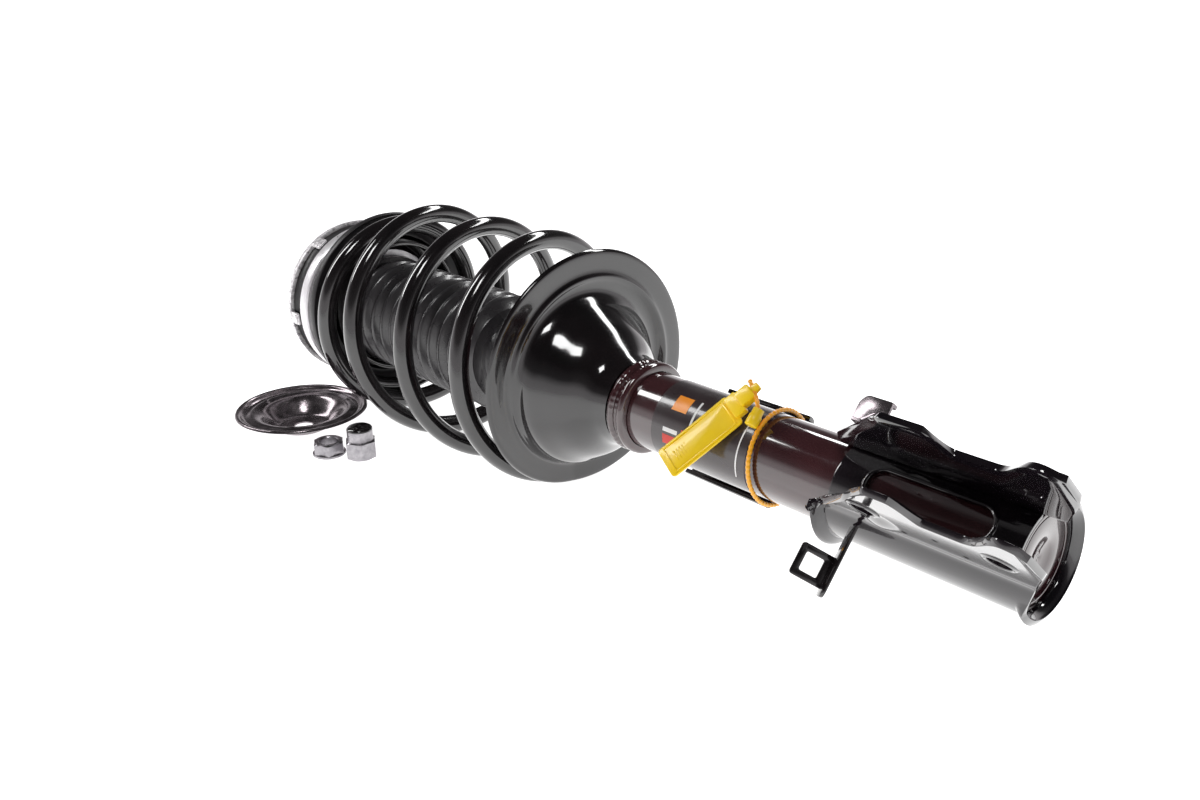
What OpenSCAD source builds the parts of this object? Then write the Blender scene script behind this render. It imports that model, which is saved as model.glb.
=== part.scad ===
// Suspension strut assembly with coil spring, top mount and loose fasteners.
// Parts are drawn upright in the strut's own frame: local +Z runs from the knuckle
// towards the top mount, local +X is the side on which the knuckle ears open, and
// local Z = 0 is the upper knuckle bolt. lay_down() then lays the strut on its spring,
// with the origin at the centre of the upper knuckle bolt hole and +Z upwards.

/* [Resting attitude] */
// Angle of the knuckle ears above the horizontal as the strut lies
ear_lift = 41; // [30:1:60]

/* [Damper tube] */
// Outer diameter of the damper tube
tube_d = 51; // [45:0.5:56]
// Wall of the damper tube
tube_wall = 2.5; // [1.8:0.1:3.5]
// Tube length below the upper knuckle bolt
tube_foot = 70; // [68:1:74]
// Tube length above the upper knuckle bolt
tube_head = 340; // [330:1:350]

/* [Knuckle bracket] */
// Diameter of the two knuckle bolt holes
bolt_d = 12.6; // [10:0.1:16]
// Distance between the knuckle bolts
bolt_pitch = 73.5; // [60:0.5:76]
// Distance from the tube axis to the knuckle bolts
bolt_reach = 52; // [46:0.5:60]
// Clear gap between the two ears
ear_gap = 31; // [26:0.5:36]
// Bracket sheet thickness
bracket_sheet = 3.6; // [2.5:0.1:4.5]
// Bracket length above the upper bolt
bracket_up = 44; // [36:1:50]
// Bracket length below the upper bolt
bracket_down = 97; // [94:1:104]
// Bracket length below the upper bolt, round its back
bracket_back = 76; // [75:1:84]

/* [Coil spring] */
// Spring wire diameter
wire_d = 14.5; // [11:0.5:16]
// Mean radius of the working coils
coil_r = 84; // [78:0.5:95]
// Mean radius at the lower end of the wire
low_coil_r = 80; // [76:0.5:86]
// Mean radius of the small coil under the top mount
top_coil_r = 69; // [64:0.5:74]
// Rise of one working coil
coil_pitch = 64.7; // [50:0.1:72]
// Rise of one closed coil at the top
end_pitch = 6; // [4:0.5:9]
// Sideways offset of the spring at its lower seat, local X
low_off_x = -2.1; // [-8:0.1:4]
// Sideways offset of the spring at its lower seat, local Y
low_off_y = 9.8; // [0:0.1:16]
// Sideways offset of the spring at its upper seat, local X
top_off_x = 3.9; // [-8:0.1:8]
// Sideways offset of the spring at its upper seat, local Y
top_off_y = 4.5; // [-8:0.1:8]

/* [Lower spring seat] */
// Height of the wire centre at the lower spring end
spring_foot = 278.4; // [270:0.2:284]
// Outer radius of the seat pan
pan_r = 86; // [84:0.5:88]
// Seat sheet thickness
pan_sheet = 3; // [2:0.1:4]
// Radius of the seat's inner dome
dome_r = 57; // [50:0.5:60]
// Thickness of the insulator pad
pad_low_h = 4; // [2:0.5:6]

/* [Rod and piston] */
// Piston rod diameter
rod_d = 20; // [16:0.5:22]
// Threaded end diameter of the rod
stud_d = 14; // [10:0.5:14]
// Inner diameter of the pressure tube
bore_d = 34; // [30:0.5:36]
// Travel from full extension to the bump stop
travel = 100; // [60:5:100]

/* [Top mount] */
// Outer radius of the mount stack
mount_r = 66; // [60:0.5:70]
// Stud length that stands out of the mount
stud_out = 27; // [20:1:35]
// Across flats of the rod nut and the loose nuts
nut_af = 22; // [19:1:24]

/* [Brackets] */
// Length of the stabiliser link plate
link_plate_len = 66; // [55:1:70]
// Width of the stabiliser link plate
link_plate_w = 60; // [54:1:64]
// Link hole diameter
link_hole_d = 10.5; // [8:0.5:12]
// Side of the square hole in the hose bracket
hose_hole = 10.5; // [9:0.5:11.5]

/* [Loose hardware] */
// Outer diameter of the retainer cup
cup_d = 107; // [96:1:112]
// Height of the retainer cup
cup_h = 19; // [14:0.5:20]

/* [Hidden] */
$fn = 96;
FIT = 0.05;        // radial gap of fixed pieces that nest in each other
RUN = 0.06;        // radial running clearance
GAP = 0.4;         // clearance between pieces that move past each other

tube_r = tube_d / 2;
tube_bore_r = tube_r - tube_wall;
rod_r = rod_d / 2;
stud_r = stud_d / 2;
shank_r = stud_r + 1;
wire_r = wire_d / 2;
bolt_r = bolt_d / 2;
bore_r = bore_d / 2;

// Knuckle bracket
shell_in = tube_r + FIT;
shell_out = shell_in + bracket_sheet;
ear_in = ear_gap / 2;
ear_out = ear_in + bracket_sheet;
ear_valley = bolt_reach + 17;
ear_peak = bolt_reach + 39;
hump_w = 27;
hump_hi = -40;
hump_lo = -(bolt_pitch + 13);
flare_len = 5;
flare_r = 4;
lip_out = 7;
lip_len = 6;

// Spring: the wire's angle about local Z, in degrees, grows as it climbs
ring_step = 15;
wire_sides = 12;
spring_rings = 104;
rest_phi = 90 - ear_lift + 180;        // direction that faces the floor
phi_low = rest_phi - 787.5;            // lower end of the wire
phi_floor = rest_phi - 720;            // lowest coil meets the floor
phi_shut = rest_phi + 331;             // top coil starts to close
phi_top = phi_low + spring_rings * ring_step;
ease = 140;                            // angle over which the pitch changes
sleeve_wall = 1.2;
sleeve_rings = 5;

function clamp01(t) = min(1, max(0, t));
function smooth(t) = let (u = clamp01(t)) u * u * (3 - 2 * u);
function smooth_sum(t) = t <= 0 ? 0 : t >= 1 ? t - 0.5 : t * t * t - t * t * t * t / 2;
function bump(t) = abs(t) >= 1 ? 0 : (1 + cos(180 * t)) / 2;
function mix(a, b, t) = a + (b - a) * t;

function coil_z(phi) = spring_foot + coil_pitch * (phi - phi_low) / 360
    - (coil_pitch - end_pitch) * ease / 360 * smooth_sum((phi - phi_shut) / ease);
spring_top = coil_z(phi_top);
function coil_radius(phi) = coil_r
    - (coil_r - top_coil_r) * smooth((phi - phi_shut + 60) / 260)
    - (coil_r - low_coil_r) * smooth((phi_floor + 40 - phi) / 107.5);
function coil_off(z) = let (t = clamp01((z - spring_foot) / (spring_top - spring_foot)))
    [mix(low_off_x, top_off_x, t), mix(low_off_y, top_off_y, t)];
function coil_point(phi) = let (z = coil_z(phi), r = coil_radius(phi), o = coil_off(z))
    [o[0] + r * cos(phi), o[1] + r * sin(phi), z];

function unit(v) = v / norm(v);
function ring_at(phi, r) = let (
    p = coil_point(phi),
    t = unit(coil_point(phi + 1) - coil_point(phi - 1)),
    n = [cos(phi), sin(phi), 0],
    b = unit(cross(t, n)),
    m = cross(b, t))
    [for (k = [0:wire_sides - 1]) let (a = 360 * k / wire_sides)
        p + r * (cos(a) * m + sin(a) * b)];

// Spring seat pan: the ramp follows the wire, then steps down behind the wire's end
pan_steps = 72;
ramp_span = 75;
pan_drop = wire_r + sleeve_wall + 0.4 + pad_low_h + 0.8 + pan_sheet;
dome_z = 258;
neck_z = dome_z - 45;
collar_h = 17;
function pan_ramp(turn) = coil_z(phi_low + min(turn, ramp_span)) - pan_drop
    - smooth((turn - ramp_span) / (360 - ramp_span)) * coil_pitch * ramp_span / 360;

// Rod, piston and valves
guide_z = tube_head - 22;
guide_spigot = 8;
seal_z = tube_head - 6;
rebound_h = 12;
rebound_z = guide_z - guide_spigot - GAP - rebound_h;
piston_h = 16;
piston_z = rebound_z - 30 - piston_h;
foot_z = 4 - tube_foot;
foot_h = 8;
cap_r = tube_r + 2;
cap_top = tube_head + 7;
cap_skirt = 14;

// Upper seat, bearing and mount, stacked upwards from the top coil
pad_z = spring_top + wire_r + 0.2;
pad_h = 7;
seat_z = pad_z + pad_h;
seat_sheet = 3;
race_z = seat_z + seat_sheet;
race_h = 8;
race_r = 62.5;
race_bore = 32;
ball_r = 3.5;
ball_ring_r = 44;
ball_count = 24;
race_gap = 2.4;
cage_h = 1.4;
top_race_z = race_z + race_h + race_gap;
top_race_h = 12;
plate_z = top_race_z + top_race_h;
plate_h = 12;
rubber_z = plate_z + plate_h;
rubber_h = 13;
cover_z = rubber_z + rubber_h;
cover_h = 13;
core_z = plate_z + 1;
core_r = 13;
bush_r = 34;
washer_z = rubber_z + 9;
washer_h = 3;
nut_z = washer_z + washer_h;
nut_h = 11;
recess_r = 24;
stud_top = cover_z + cover_h + stud_out;
bump_r = 24;
bump_low = cap_top + travel + 2;
bellows_r = 44;
bellows_neck_r = 36;
bellows_wall = 1.5;
rib_pitch = 12.5;
bellows_low = tube_head + 8;
bellows_top = seat_z - GAP;

// Floor under the strut, in the laid-down frame
up_x = sin(ear_lift);
up_y = cos(ear_lift);
rest_off = low_off_x * up_x + low_off_y * up_y;
axis_height = (coil_r + wire_r) * cos(ring_step / 2) - rest_off;
floor_z = -bolt_reach * sin(ear_lift) - axis_height;
axis_y = bolt_reach * cos(ear_lift);

paint = [0.05, 0.04, 0.045];
maroon = [0.16, 0.07, 0.07];
zinc = [0.78, 0.77, 0.78];
rubber = [0.12, 0.12, 0.13];

// ---------- placement ----------

// Lays an upright piece down with the upper bolt hole's centre on the origin
module lay_down() {
    rotate([90 - ear_lift, 0, 0])
        rotate([0, -90, 0])
            translate([-bolt_reach, 0, 0])
                children();
}

// Stands a piece on the floor: along the strut from the upper bolt, and to its near side
module on_floor(along, aside) {
    translate([-along, axis_y - aside, floor_z])
        children();
}

module ring(r_out, r_in, h) {
    difference() {
        cylinder(r = r_out, h = h);
        translate([0, 0, -1])
            cylinder(r = r_in, h = h + 2);
    }
}

module hex(af, h) {
    cylinder(r = af / 2 / cos(30), h = h, $fn = 6);
}

// Outline made of two round-ended halves
module stadium(len, wid) {
    square([len - wid, wid], center = true);
    for (s = [-1, 1])
        translate([s * (len - wid) / 2, 0])
            circle(d = wid);
}

// Closed tube swept through rings of points
module swept(rings, sides) {
    n = len(rings);
    points = [for (r = rings) each r];
    faces = concat(
        [[for (k = [sides - 1:-1:0]) k]],
        [for (i = [0:n - 2]) for (k = [0:sides - 1]) let (q = (k + 1) % sides)
            each [[i * sides + k, i * sides + q, (i + 1) * sides + q],
                  [i * sides + k, (i + 1) * sides + q, (i + 1) * sides + k]]],
        [[for (k = [0:sides - 1]) (n - 1) * sides + k]]);
    polyhedron(points, faces, convexity = 10);
}

// Closed ring swept through loops of points
module swept_loop(loops) {
    n = len(loops);
    m = len(loops[0]);
    points = [for (l = loops) each l];
    faces = [for (i = [0:n - 1]) for (k = [0:m - 1]) let (j = (i + 1) % n, q = (k + 1) % m)
        each [[i * m + k, i * m + q, j * m + q], [i * m + k, j * m + q, j * m + k]]];
    polyhedron(points, faces, convexity = 10);
}

// ---------- damper body ----------

module strut_tube() {
    color(maroon)
        lay_down()
            translate([0, 0, -tube_foot])
                ring(tube_r, tube_bore_r, tube_foot + tube_head);
}

module base_cap() {
    color(paint)
        lay_down()
            translate([0, 0, -tube_foot])
                difference() {
                    cylinder(r = tube_bore_r - FIT, h = 4);
                    translate([0, 0, -9])
                        sphere(r = 11);
                }
}

// Reach of the ear edge from the tube axis at height z; side is -1 on the near ear, 1 on the far one
function ear_edge(z, side) = min(
    mix(ear_valley, ear_peak, max(smooth((z - hump_hi) / 10), bump((z - hump_lo) / hump_w))),
    ear_peak - 1.12 * (z + 12 - 5 * side));

module ear_side_outline(side) {
    edge = [for (z = [-bracket_down:3:bracket_up]) [ear_edge(z, side), z]];
    polygon(concat(
        [[-2 * shell_out, bracket_up], [-2 * shell_out, -bracket_back], [6, -bracket_back],
         [0.6 * shell_out, -mix(bracket_back, bracket_down, 0.2)], [bolt_reach + 8, -bracket_down]],
        edge, [[ear_edge(bracket_up, side), bracket_up]]));
}

module bracket_section() {
    difference() {
        union() {
            circle(r = shell_out);
            translate([0, -ear_out])
                square([ear_peak + 5, 2 * ear_out]);
        }
        circle(r = shell_in);
        translate([0, -ear_in])
            square([ear_peak + 6, 2 * ear_in]);
    }
}

module knuckle_bracket() {
    color(paint)
        lay_down()
            difference() {
                union() {
                    intersection() {
                        translate([0, 0, -bracket_down])
                            linear_extrude(bracket_down + bracket_up)
                                bracket_section();
                        for (s = [-1, 1])
                            rotate([90, 0, 0])
                                translate([0, 0, s > 0 ? -60 : 0])
                                    linear_extrude(60)
                                        ear_side_outline(s);
                    }
                    // flared lip round the back of the lower end
                    difference() {
                        translate([0, 0, -bracket_back])
                            cylinder(r1 = shell_out + flare_r, r2 = shell_out, h = flare_len);
                        translate([0, 0, -bracket_back - 1])
                            cylinder(r = shell_in, h = flare_len + 2);
                        translate([6, -60, -bracket_back - 1])
                            cube([60, 120, flare_len + 2]);
                    }
                    // flared lip round the near side of the upper end
                    difference() {
                        translate([0, 0, bracket_up - lip_len])
                            cylinder(r1 = shell_out, r2 = shell_out + lip_out, h = lip_len);
                        translate([0, 0, bracket_up - lip_len - 1])
                            cylinder(r = shell_in, h = lip_len + 2);
                        translate([-60, -12, bracket_up - lip_len - 1])
                            cube([120, 80, lip_len + 2]);
                        translate([ear_edge(bracket_up, -1), -60, bracket_up - lip_len - 1])
                            cube([60, 60, lip_len + 2]);
                    }
                }
                // mouth of the lower flare stays open inside
                translate([0, 0, -bracket_back - 0.02])
                    cylinder(r1 = shell_in + flare_r - 1, r2 = shell_in, h = flare_len - 1);
                for (z = [0, -bolt_pitch])
                    translate([bolt_reach, 0, z])
                        rotate([90, 0, 0])
                            cylinder(r = bolt_r, h = 80, center = true);
                // small locating holes in the near ear
                for (p = [[28, 30], [33, -16], [43, -37], [33, -50]])
                    translate([p[0], -ear_out - 1, p[1]])
                        rotate([-90, 0, 0])
                            cylinder(r = 1.6, h = bracket_sheet + 2);
            }
}

insert_wall = 2.2;
module bracket_insert() {
    color(paint)
        lay_down()
            difference() {
                translate([0, 0, -tube_foot])
                    intersection() {
                        ring(shell_in + insert_wall, shell_in, tube_foot + bracket_up - 6);
                        translate([0, -ear_in + GAP, -1])
                            cube([60, 2 * (ear_in - GAP), tube_foot + bracket_up]);
                    }
                translate([10, 0, -17])
                    rotate([0, 90, 0])
                        linear_extrude(40)
                            stadium(72, 19);
            }
}

// ---------- lower spring seat ----------

// Underside of the pan from neck to rim: [share of the spring's offset, radius, height]
function pan_under(turn) = let (h = pan_ramp(turn), rise = h - dome_z) [
    [0, tube_r + 3.4, neck_z],
    [0, tube_r + 4.6, neck_z + 5],
    [0, tube_r + 8, neck_z + 13],
    [0, mix(tube_r, dome_r, 0.57), neck_z + 24],
    [0, dome_r - 6, dome_z - 9],
    [0, dome_r - 1.5, dome_z - 2],
    [0.1, dome_r + 1, dome_z + 3],
    [0.4, dome_r + 4, dome_z + 7],
    [0.7, dome_r + 8, dome_z + 7.5 + 0.3 * max(0, rise - 7)],
    [0.9, dome_r + 11, dome_z + 0.4 + 0.75 * rise],
    [1, dome_r + 14.5, h],
    [1, pan_r - 4, h + 0.2],
    [1, pan_r - 1, h + 1],
    [1, pan_r, h + 3]];

// Closed profile at angle a: the underside, then the same line one sheet thickness above
function pan_loop(a) = let (
    turn = ((a - phi_low) % 360 + 360) % 360,
    off = coil_off(spring_foot),
    under = pan_under(turn),
    n = len(under),
    over = [for (i = [n - 1:-1:0]) let (
        p = under[i],
        t = under[min(n - 1, i + 1)] - under[max(0, i - 1)],
        s = pan_sheet / norm([t[1], t[2]]))
        [p[0], p[1] - t[2] * s, p[2] + t[1] * s]])
    [for (p = concat(under, over))
        [off[0] * p[0] + p[1] * cos(a), off[1] * p[0] + p[1] * sin(a), p[2]]];

module lower_spring_seat() {
    color(paint)
        lay_down()
            swept_loop([for (i = [0:pan_steps - 1]) pan_loop(360 * i / pan_steps)]);
}

// Two rolled rings that carry the pan's neck on the tube
module seat_collar() {
    color(maroon)
        lay_down()
            translate([0, 0, neck_z - collar_h])
                difference() {
                    union() {
                        cylinder(r = shell_in + 1.2, h = collar_h - GAP);
                        for (z = [3.5, 12])
                            translate([0, 0, z])
                                rotate_extrude()
                                    translate([tube_r + 2.2, 0])
                                        circle(r = 3);
                    }
                    translate([0, 0, -5])
                        cylinder(r = shell_in, h = collar_h + 10);
                }
}

// Rubber strip that lies on the pan, under the wire's first turn
pad_in = dome_r + 16;
pad_out = pan_r - 4.5;
function pad_ring(phi) = let (
    o = coil_off(spring_foot),
    low = pan_ramp(phi - phi_low) + pan_sheet + 0.8)
    [for (q = [[pad_in, low], [pad_out, low], [pad_out, low + pad_low_h], [pad_in, low + pad_low_h]])
        [o[0] + q[0] * cos(phi), o[1] + q[0] * sin(phi), q[1]]];

module lower_spring_pad() {
    color(rubber)
        lay_down()
            swept([for (i = [0:19]) pad_ring(phi_low + i * ring_step)], 4);
}

module coil_spring() {
    color(paint)
        lay_down()
            swept([for (i = [0:spring_rings]) ring_at(phi_low + i * ring_step, wire_r)], wire_sides);
}

// Sleeve on the wire's lower end, closed behind it
function sleeve_loop(i) = concat(
    ring_at(phi_low + i * ring_step, wire_r + sleeve_wall),
    [for (p = ring_at(phi_low + i * ring_step, wire_r + 0.1)) p]);

module spring_end_sleeve() {
    n = sleeve_rings;
    m = wire_sides;
    points = [for (i = [0:n - 1]) each sleeve_loop(i)];
    function wall(o, flip) = [for (i = [0:n - 2]) for (k = [0:m - 1]) let (
        q = (k + 1) % m, a = i * 2 * m + o, b = (i + 1) * 2 * m + o)
        each flip ? [[a + k, b + q, a + q], [a + k, b + k, b + q]]
                  : [[a + k, a + q, b + q], [a + k, b + q, b + k]]];
    function lid(a, flip) = [for (k = [0:m - 1]) let (q = (k + 1) % m)
        each flip ? [[a + k, a + m + q, a + q], [a + k, a + m + k, a + m + q]]
                  : [[a + k, a + q, a + m + q], [a + k, a + m + q, a + m + k]]];
    color(rubber)
        lay_down()
            polyhedron(points, concat(wall(0, false), wall(m, true),
                lid(0, true), lid((n - 1) * 2 * m, false)), convexity = 6);
}

// ---------- brackets and tags ----------

link_z = 133;
link_mid = 4;
lip_h = 6;
module stabilizer_link_bracket() {
    wall = 3;
    x_in = -tube_r - FIT;
    color(paint)
        lay_down()
            difference() {
                union() {
                    translate([x_in - wall, link_mid - link_plate_w / 2, link_z - link_plate_len / 2])
                        cube([wall, link_plate_w, link_plate_len]);
                    for (s = [-1, 1])
                        translate([x_in - wall, link_mid + s * (link_plate_w - wall) / 2 - wall / 2,
                                link_z - link_plate_len / 2])
                            cube([wall + lip_h, wall, link_plate_len]);
                    translate([x_in - 32, link_mid, link_z - 17])
                        cube([32, 4, 34]);
                }
                translate([x_in - 18, link_mid - 1, link_z])
                    rotate([-90, 0, 0])
                        cylinder(d = link_hole_d, h = 6);
            }
}

// Arm that stands out from the shell's near side, with a square-holed plate on its edge
hose_x = 18;
hose_z = 21;
hose_end = 61.5;
hose_plate = 18.5;
module brake_hose_bracket() {
    wall = 2;
    color(paint)
        lay_down()
            difference() {
                translate([hose_x, 0, hose_z])
                    rotate([0, -45, 0]) {
                        translate([-wall, -hose_end - 4, -9])
                            cube([wall, hose_end - 16, 9]);
                        difference() {
                            translate([-wall, -hose_end, -wall])
                                cube([hose_plate + wall, hose_plate, wall]);
                            translate([hose_plate / 2, hose_plate / 2 - hose_end, -wall / 2])
                                cube([hose_hole, hose_hole, 2 * wall], center = true);
                        }
                    }
                translate([0, 0, -10])
                    cylinder(r = shell_out + FIT, h = 60);
            }
}

lead_x = bolt_reach + 10;
module lead_bracket() {
    wall = 2;
    color(paint)
        lay_down() {
            translate([lead_x - 15, ear_out + FIT, 11])
                cube([15 + wall, wall, 11]);
            translate([lead_x, ear_out + FIT, 4])
                cube([wall, 15, 18]);
            translate([lead_x - 4, ear_out + FIT + 13, 4])
                cube([5, wall, 7]);
        }
}

// Printed film round the front of the tube
label_z = 98;
label_len = 76;
label_wall = 0.3;
module label_sleeve() {
    color(maroon)
        lay_down()
            translate([0, 0, label_z])
                rotate_extrude(angle = 240, start = -120)
                    translate([tube_r + 0.02, 0])
                        square([label_wall, label_len]);
}

strap_z = 93;
strap_wire_r = 1.3;
strap_r = tube_r + 3;
tag_x = tube_r + 2.2;
module seal_tag() {
    color("gold")
        lay_down() {
            translate([tag_x, 12, 117])
                rotate([-28, 0, 0])
                    translate([0, -54, -12])
                        cube([1.5, 54, 24]);
            translate([tag_x - 0.2, 8, strap_z + strap_wire_r + 0.5])
                cube([5, 9, 14]);
        }
}

module seal_strap() {
    color("orange")
        lay_down()
            translate([0, 0, strap_z])
                rotate_extrude()
                    translate([strap_r, 0])
                        circle(r = strap_wire_r, $fn = 24);
}

// ---------- inside the damper ----------

module pressure_tube() {
    color(zinc)
        lay_down()
            translate([0, 0, foot_z + foot_h])
                ring(bore_r + 1.5, bore_r, guide_z - foot_z - foot_h);
}

module foot_valve() {
    color(zinc)
        lay_down()
            difference() {
                union() {
                    translate([0, 0, foot_z + 0.1])
                        cylinder(r = tube_bore_r - FIT, h = foot_h - 0.2);
                    translate([0, 0, foot_z])
                        cylinder(r = bore_r - FIT, h = foot_h + 10);
                }
                for (a = [0:60:300])
                    rotate([0, 0, a])
                        translate([9, 0, foot_z - 1])
                            cylinder(r = 2, h = foot_h + 12);
            }
}

module rod_guide() {
    color(zinc)
        lay_down()
            difference() {
                union() {
                    translate([0, 0, guide_z + 0.1])
                        cylinder(r = tube_bore_r - FIT, h = seal_z - guide_z - 0.2);
                    translate([0, 0, guide_z - guide_spigot])
                        cylinder(r = bore_r - FIT, h = guide_spigot + 2);
                }
                translate([0, 0, guide_z - guide_spigot - 1])
                    cylinder(r = rod_r + RUN, h = 40);
            }
}

module rod_seal() {
    color(rubber)
        lay_down()
            translate([0, 0, seal_z])
                ring(tube_bore_r - FIT, rod_r + RUN, 5.5);
}

module tube_end_cap() {
    color(paint)
        lay_down()
            difference() {
                translate([0, 0, tube_head - cap_skirt])
                    cylinder(r = cap_r, h = cap_top - tube_head + cap_skirt);
                translate([0, 0, tube_head - cap_skirt - 1])
                    cylinder(r = tube_r + FIT, h = cap_skirt + 1.1);
                translate([0, 0, tube_head - 1])
                    cylinder(r = rod_r + 0.5, h = 20);
            }
}

module piston_rod() {
    color("silver")
        lay_down() {
            translate([0, 0, piston_z + piston_h])
                cylinder(r = rod_r, h = core_z - piston_z - piston_h);
            translate([0, 0, piston_z - 12])
                cylinder(r = shank_r, h = 13 + piston_h);
            translate([0, 0, core_z - 1])
                cylinder(r = shank_r, h = nut_z + nut_h - core_z + 1);
            translate([0, 0, nut_z + nut_h - 1])
                cylinder(r = stud_r, h = stud_top - nut_z - nut_h + 1);
        }
}

band_h = 7;
module piston() {
    color(zinc)
        lay_down()
            translate([0, 0, piston_z])
                difference() {
                    cylinder(r = bore_r - 0.3, h = piston_h);
                    translate([0, 0, -1])
                        cylinder(r = shank_r + FIT, h = piston_h + 2);
                    for (a = [0:45:315])
                        rotate([0, 0, a])
                            translate([11.2, 0, -1])
                                cylinder(r = 1.6, h = piston_h + 2);
                    translate([0, 0, (piston_h - band_h) / 2])
                        ring(bore_r + 2, bore_r - 1.6, band_h);
                }
}

module piston_band() {
    color(rubber)
        lay_down()
            translate([0, 0, piston_z + (piston_h - band_h) / 2 + 0.1])
                ring(bore_r - RUN, bore_r - 1.55, band_h - 0.2);
}

module piston_nut() {
    color(zinc)
        lay_down()
            translate([0, 0, piston_z - 9])
                difference() {
                    hex(24, 8.9);
                    translate([0, 0, -1])
                        cylinder(r = shank_r + FIT, h = 12);
                }
}

module rebound_stop() {
    color(rubber)
        lay_down()
            translate([0, 0, rebound_z])
                ring(bore_r - 1.5, rod_r + FIT, rebound_h);
}

module bump_stop() {
    waist = [for (i = [0:5]) let (z = mix(bump_low, plate_z - 0.2, i / 6), h = (plate_z - bump_low) / 6)
        each [[bump_r - 4, z], [bump_r, z + 0.35 * h], [bump_r, z + 0.65 * h]]];
    color("khaki")
        lay_down()
            rotate_extrude()
                polygon(concat(
                    [[rod_r + FIT, bump_low]], waist,
                    [[bump_r - 4, plate_z - 0.2], [rod_r + FIT, plate_z - 0.2]]));
}

rib_count = floor((bellows_top - 6 - bellows_low) / rib_pitch);
rib_rise = (bellows_top - 6 - bellows_low) / rib_count;
module dust_bellows() {
    outer = concat(
        [[cap_r + 1.8, tube_head - 8], [cap_r + 2.2, bellows_low - 2], [bellows_neck_r, bellows_low]],
        [for (i = [0:rib_count - 1]) let (z = bellows_low + i * rib_rise)
            each [[bellows_r, z + 0.4 * rib_rise], [bellows_r, z + 0.6 * rib_rise],
                  [bellows_neck_r, z + rib_rise]]],
        [[bellows_r + 1, bellows_top - 3], [bellows_r + 1, bellows_top]]);
    inner = [for (i = [len(outer) - 1:-1:0]) [outer[i][0] - bellows_wall, outer[i][1]]];
    color(rubber)
        lay_down()
            rotate_extrude()
                polygon(concat(outer, inner));
}

// ---------- upper seat, bearing and mount ----------

module upper_spring_seat() {
    color(paint)
        lay_down()
            difference() {
                union() {
                    translate([top_off_x, top_off_y, seat_z])
                        cylinder(r1 = top_coil_r + 5, r2 = top_coil_r + 1, h = seat_sheet - 0.1);
                    translate([top_off_x, top_off_y, seat_z - 19])
                        cylinder(r1 = 54, r2 = 56, h = 20);
                }
                translate([top_off_x, top_off_y, seat_z - 20])
                    cylinder(r1 = 51, r2 = 53, h = 20);
                translate([0, 0, seat_z - 2])
                    cylinder(r = race_bore + 3, h = 10);
            }
}

module upper_spring_pad() {
    color(rubber)
        lay_down()
            translate([top_off_x, top_off_y, pad_z])
                ring(top_coil_r + 7, 57.5, pad_h - 0.1);
}

module ball_track(z) {
    translate([0, 0, z])
        rotate_extrude()
            translate([ball_ring_r, 0])
                circle(r = ball_r + RUN);
}

ball_z = race_z + race_h + race_gap / 2;
module bearing_lower_race() {
    color(zinc)
        lay_down()
            difference() {
                translate([0, 0, race_z])
                    ring(race_r, race_bore, race_h);
                ball_track(ball_z);
            }
}

module bearing_upper_race() {
    color(paint)
        lay_down()
            difference() {
                union() {
                    translate([0, 0, top_race_z])
                        ring(race_r, race_bore, top_race_h - 0.1);
                    // seal lip that overhangs the lower race
                    translate([0, 0, top_race_z - race_gap - 2])
                        ring(race_r + 2.4, race_r + GAP, race_gap + 6);
                }
                ball_track(ball_z);
            }
}

module bearing_cage() {
    color("beige")
        lay_down()
            difference() {
                translate([0, 0, ball_z - cage_h / 2])
                    ring(ball_ring_r + 6, ball_ring_r - 6, cage_h);
                for (i = [0:ball_count - 1])
                    rotate([0, 0, 360 * i / ball_count])
                        translate([ball_ring_r, 0, ball_z - 5])
                            cylinder(r = ball_r + FIT, h = 10, $fn = 48);
            }
}

module bearing_balls() {
    color("silver")
        lay_down()
            for (i = [0:ball_count - 1])
                rotate([0, 0, 360 * i / ball_count])
                    translate([ball_ring_r, 0, ball_z])
                        sphere(r = ball_r, $fn = 32);
}

module mount_plate() {
    color(zinc)
        lay_down()
            translate([0, 0, plate_z])
                ring(mount_r, bush_r, plate_h - 0.1);
}

module mount_rubber() {
    color(rubber)
        lay_down()
            rotate_extrude()
                polygon([
                    [core_r + FIT, plate_z + 2],
                    [bush_r - FIT, plate_z + 2],
                    [bush_r - FIT, rubber_z],
                    [mount_r - 1, rubber_z],
                    [mount_r - 3, rubber_z + rubber_h / 2],
                    [mount_r - 2, cover_z - 0.1],
                    [recess_r, cover_z - 0.1],
                    [recess_r - 3, washer_z],
                    [core_r + FIT, washer_z]]);
}

module mount_core() {
    color(zinc)
        lay_down()
            translate([0, 0, core_z])
                ring(core_r, shank_r + FIT, washer_z - core_z);
}

clip_count = 6;
module mount_cover() {
    color("whitesmoke")
        lay_down() {
            difference() {
                translate([0, 0, cover_z])
                    cylinder(r1 = mount_r + 1, r2 = mount_r - 5, h = cover_h);
                translate([0, 0, cover_z - 0.1])
                    cylinder(r1 = mount_r - 2, r2 = mount_r - 12, h = cover_h - 2);
                translate([0, 0, cover_z - 1])
                    cylinder(r = recess_r + 6, h = cover_h + 2);
            }
            for (i = [0:clip_count - 1])
                rotate([0, 0, 360 * i / clip_count + 15])
                    translate([mount_r - 0.8, -4, rubber_z + 2])
                        cube([2.4, 8, rubber_h + 1]);
        }
}

module rod_washer() {
    color(zinc)
        lay_down()
            translate([0, 0, washer_z])
                ring(recess_r - 3.5, shank_r + FIT, washer_h);
}

module rod_nut() {
    color(zinc)
        lay_down()
            translate([0, 0, nut_z])
                difference() {
                    hex(nut_af + 2, nut_h);
                    translate([0, 0, -1])
                        cylinder(r = shank_r + FIT, h = nut_h + 2);
                }
}

// ---------- loose fasteners beside the strut ----------

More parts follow.
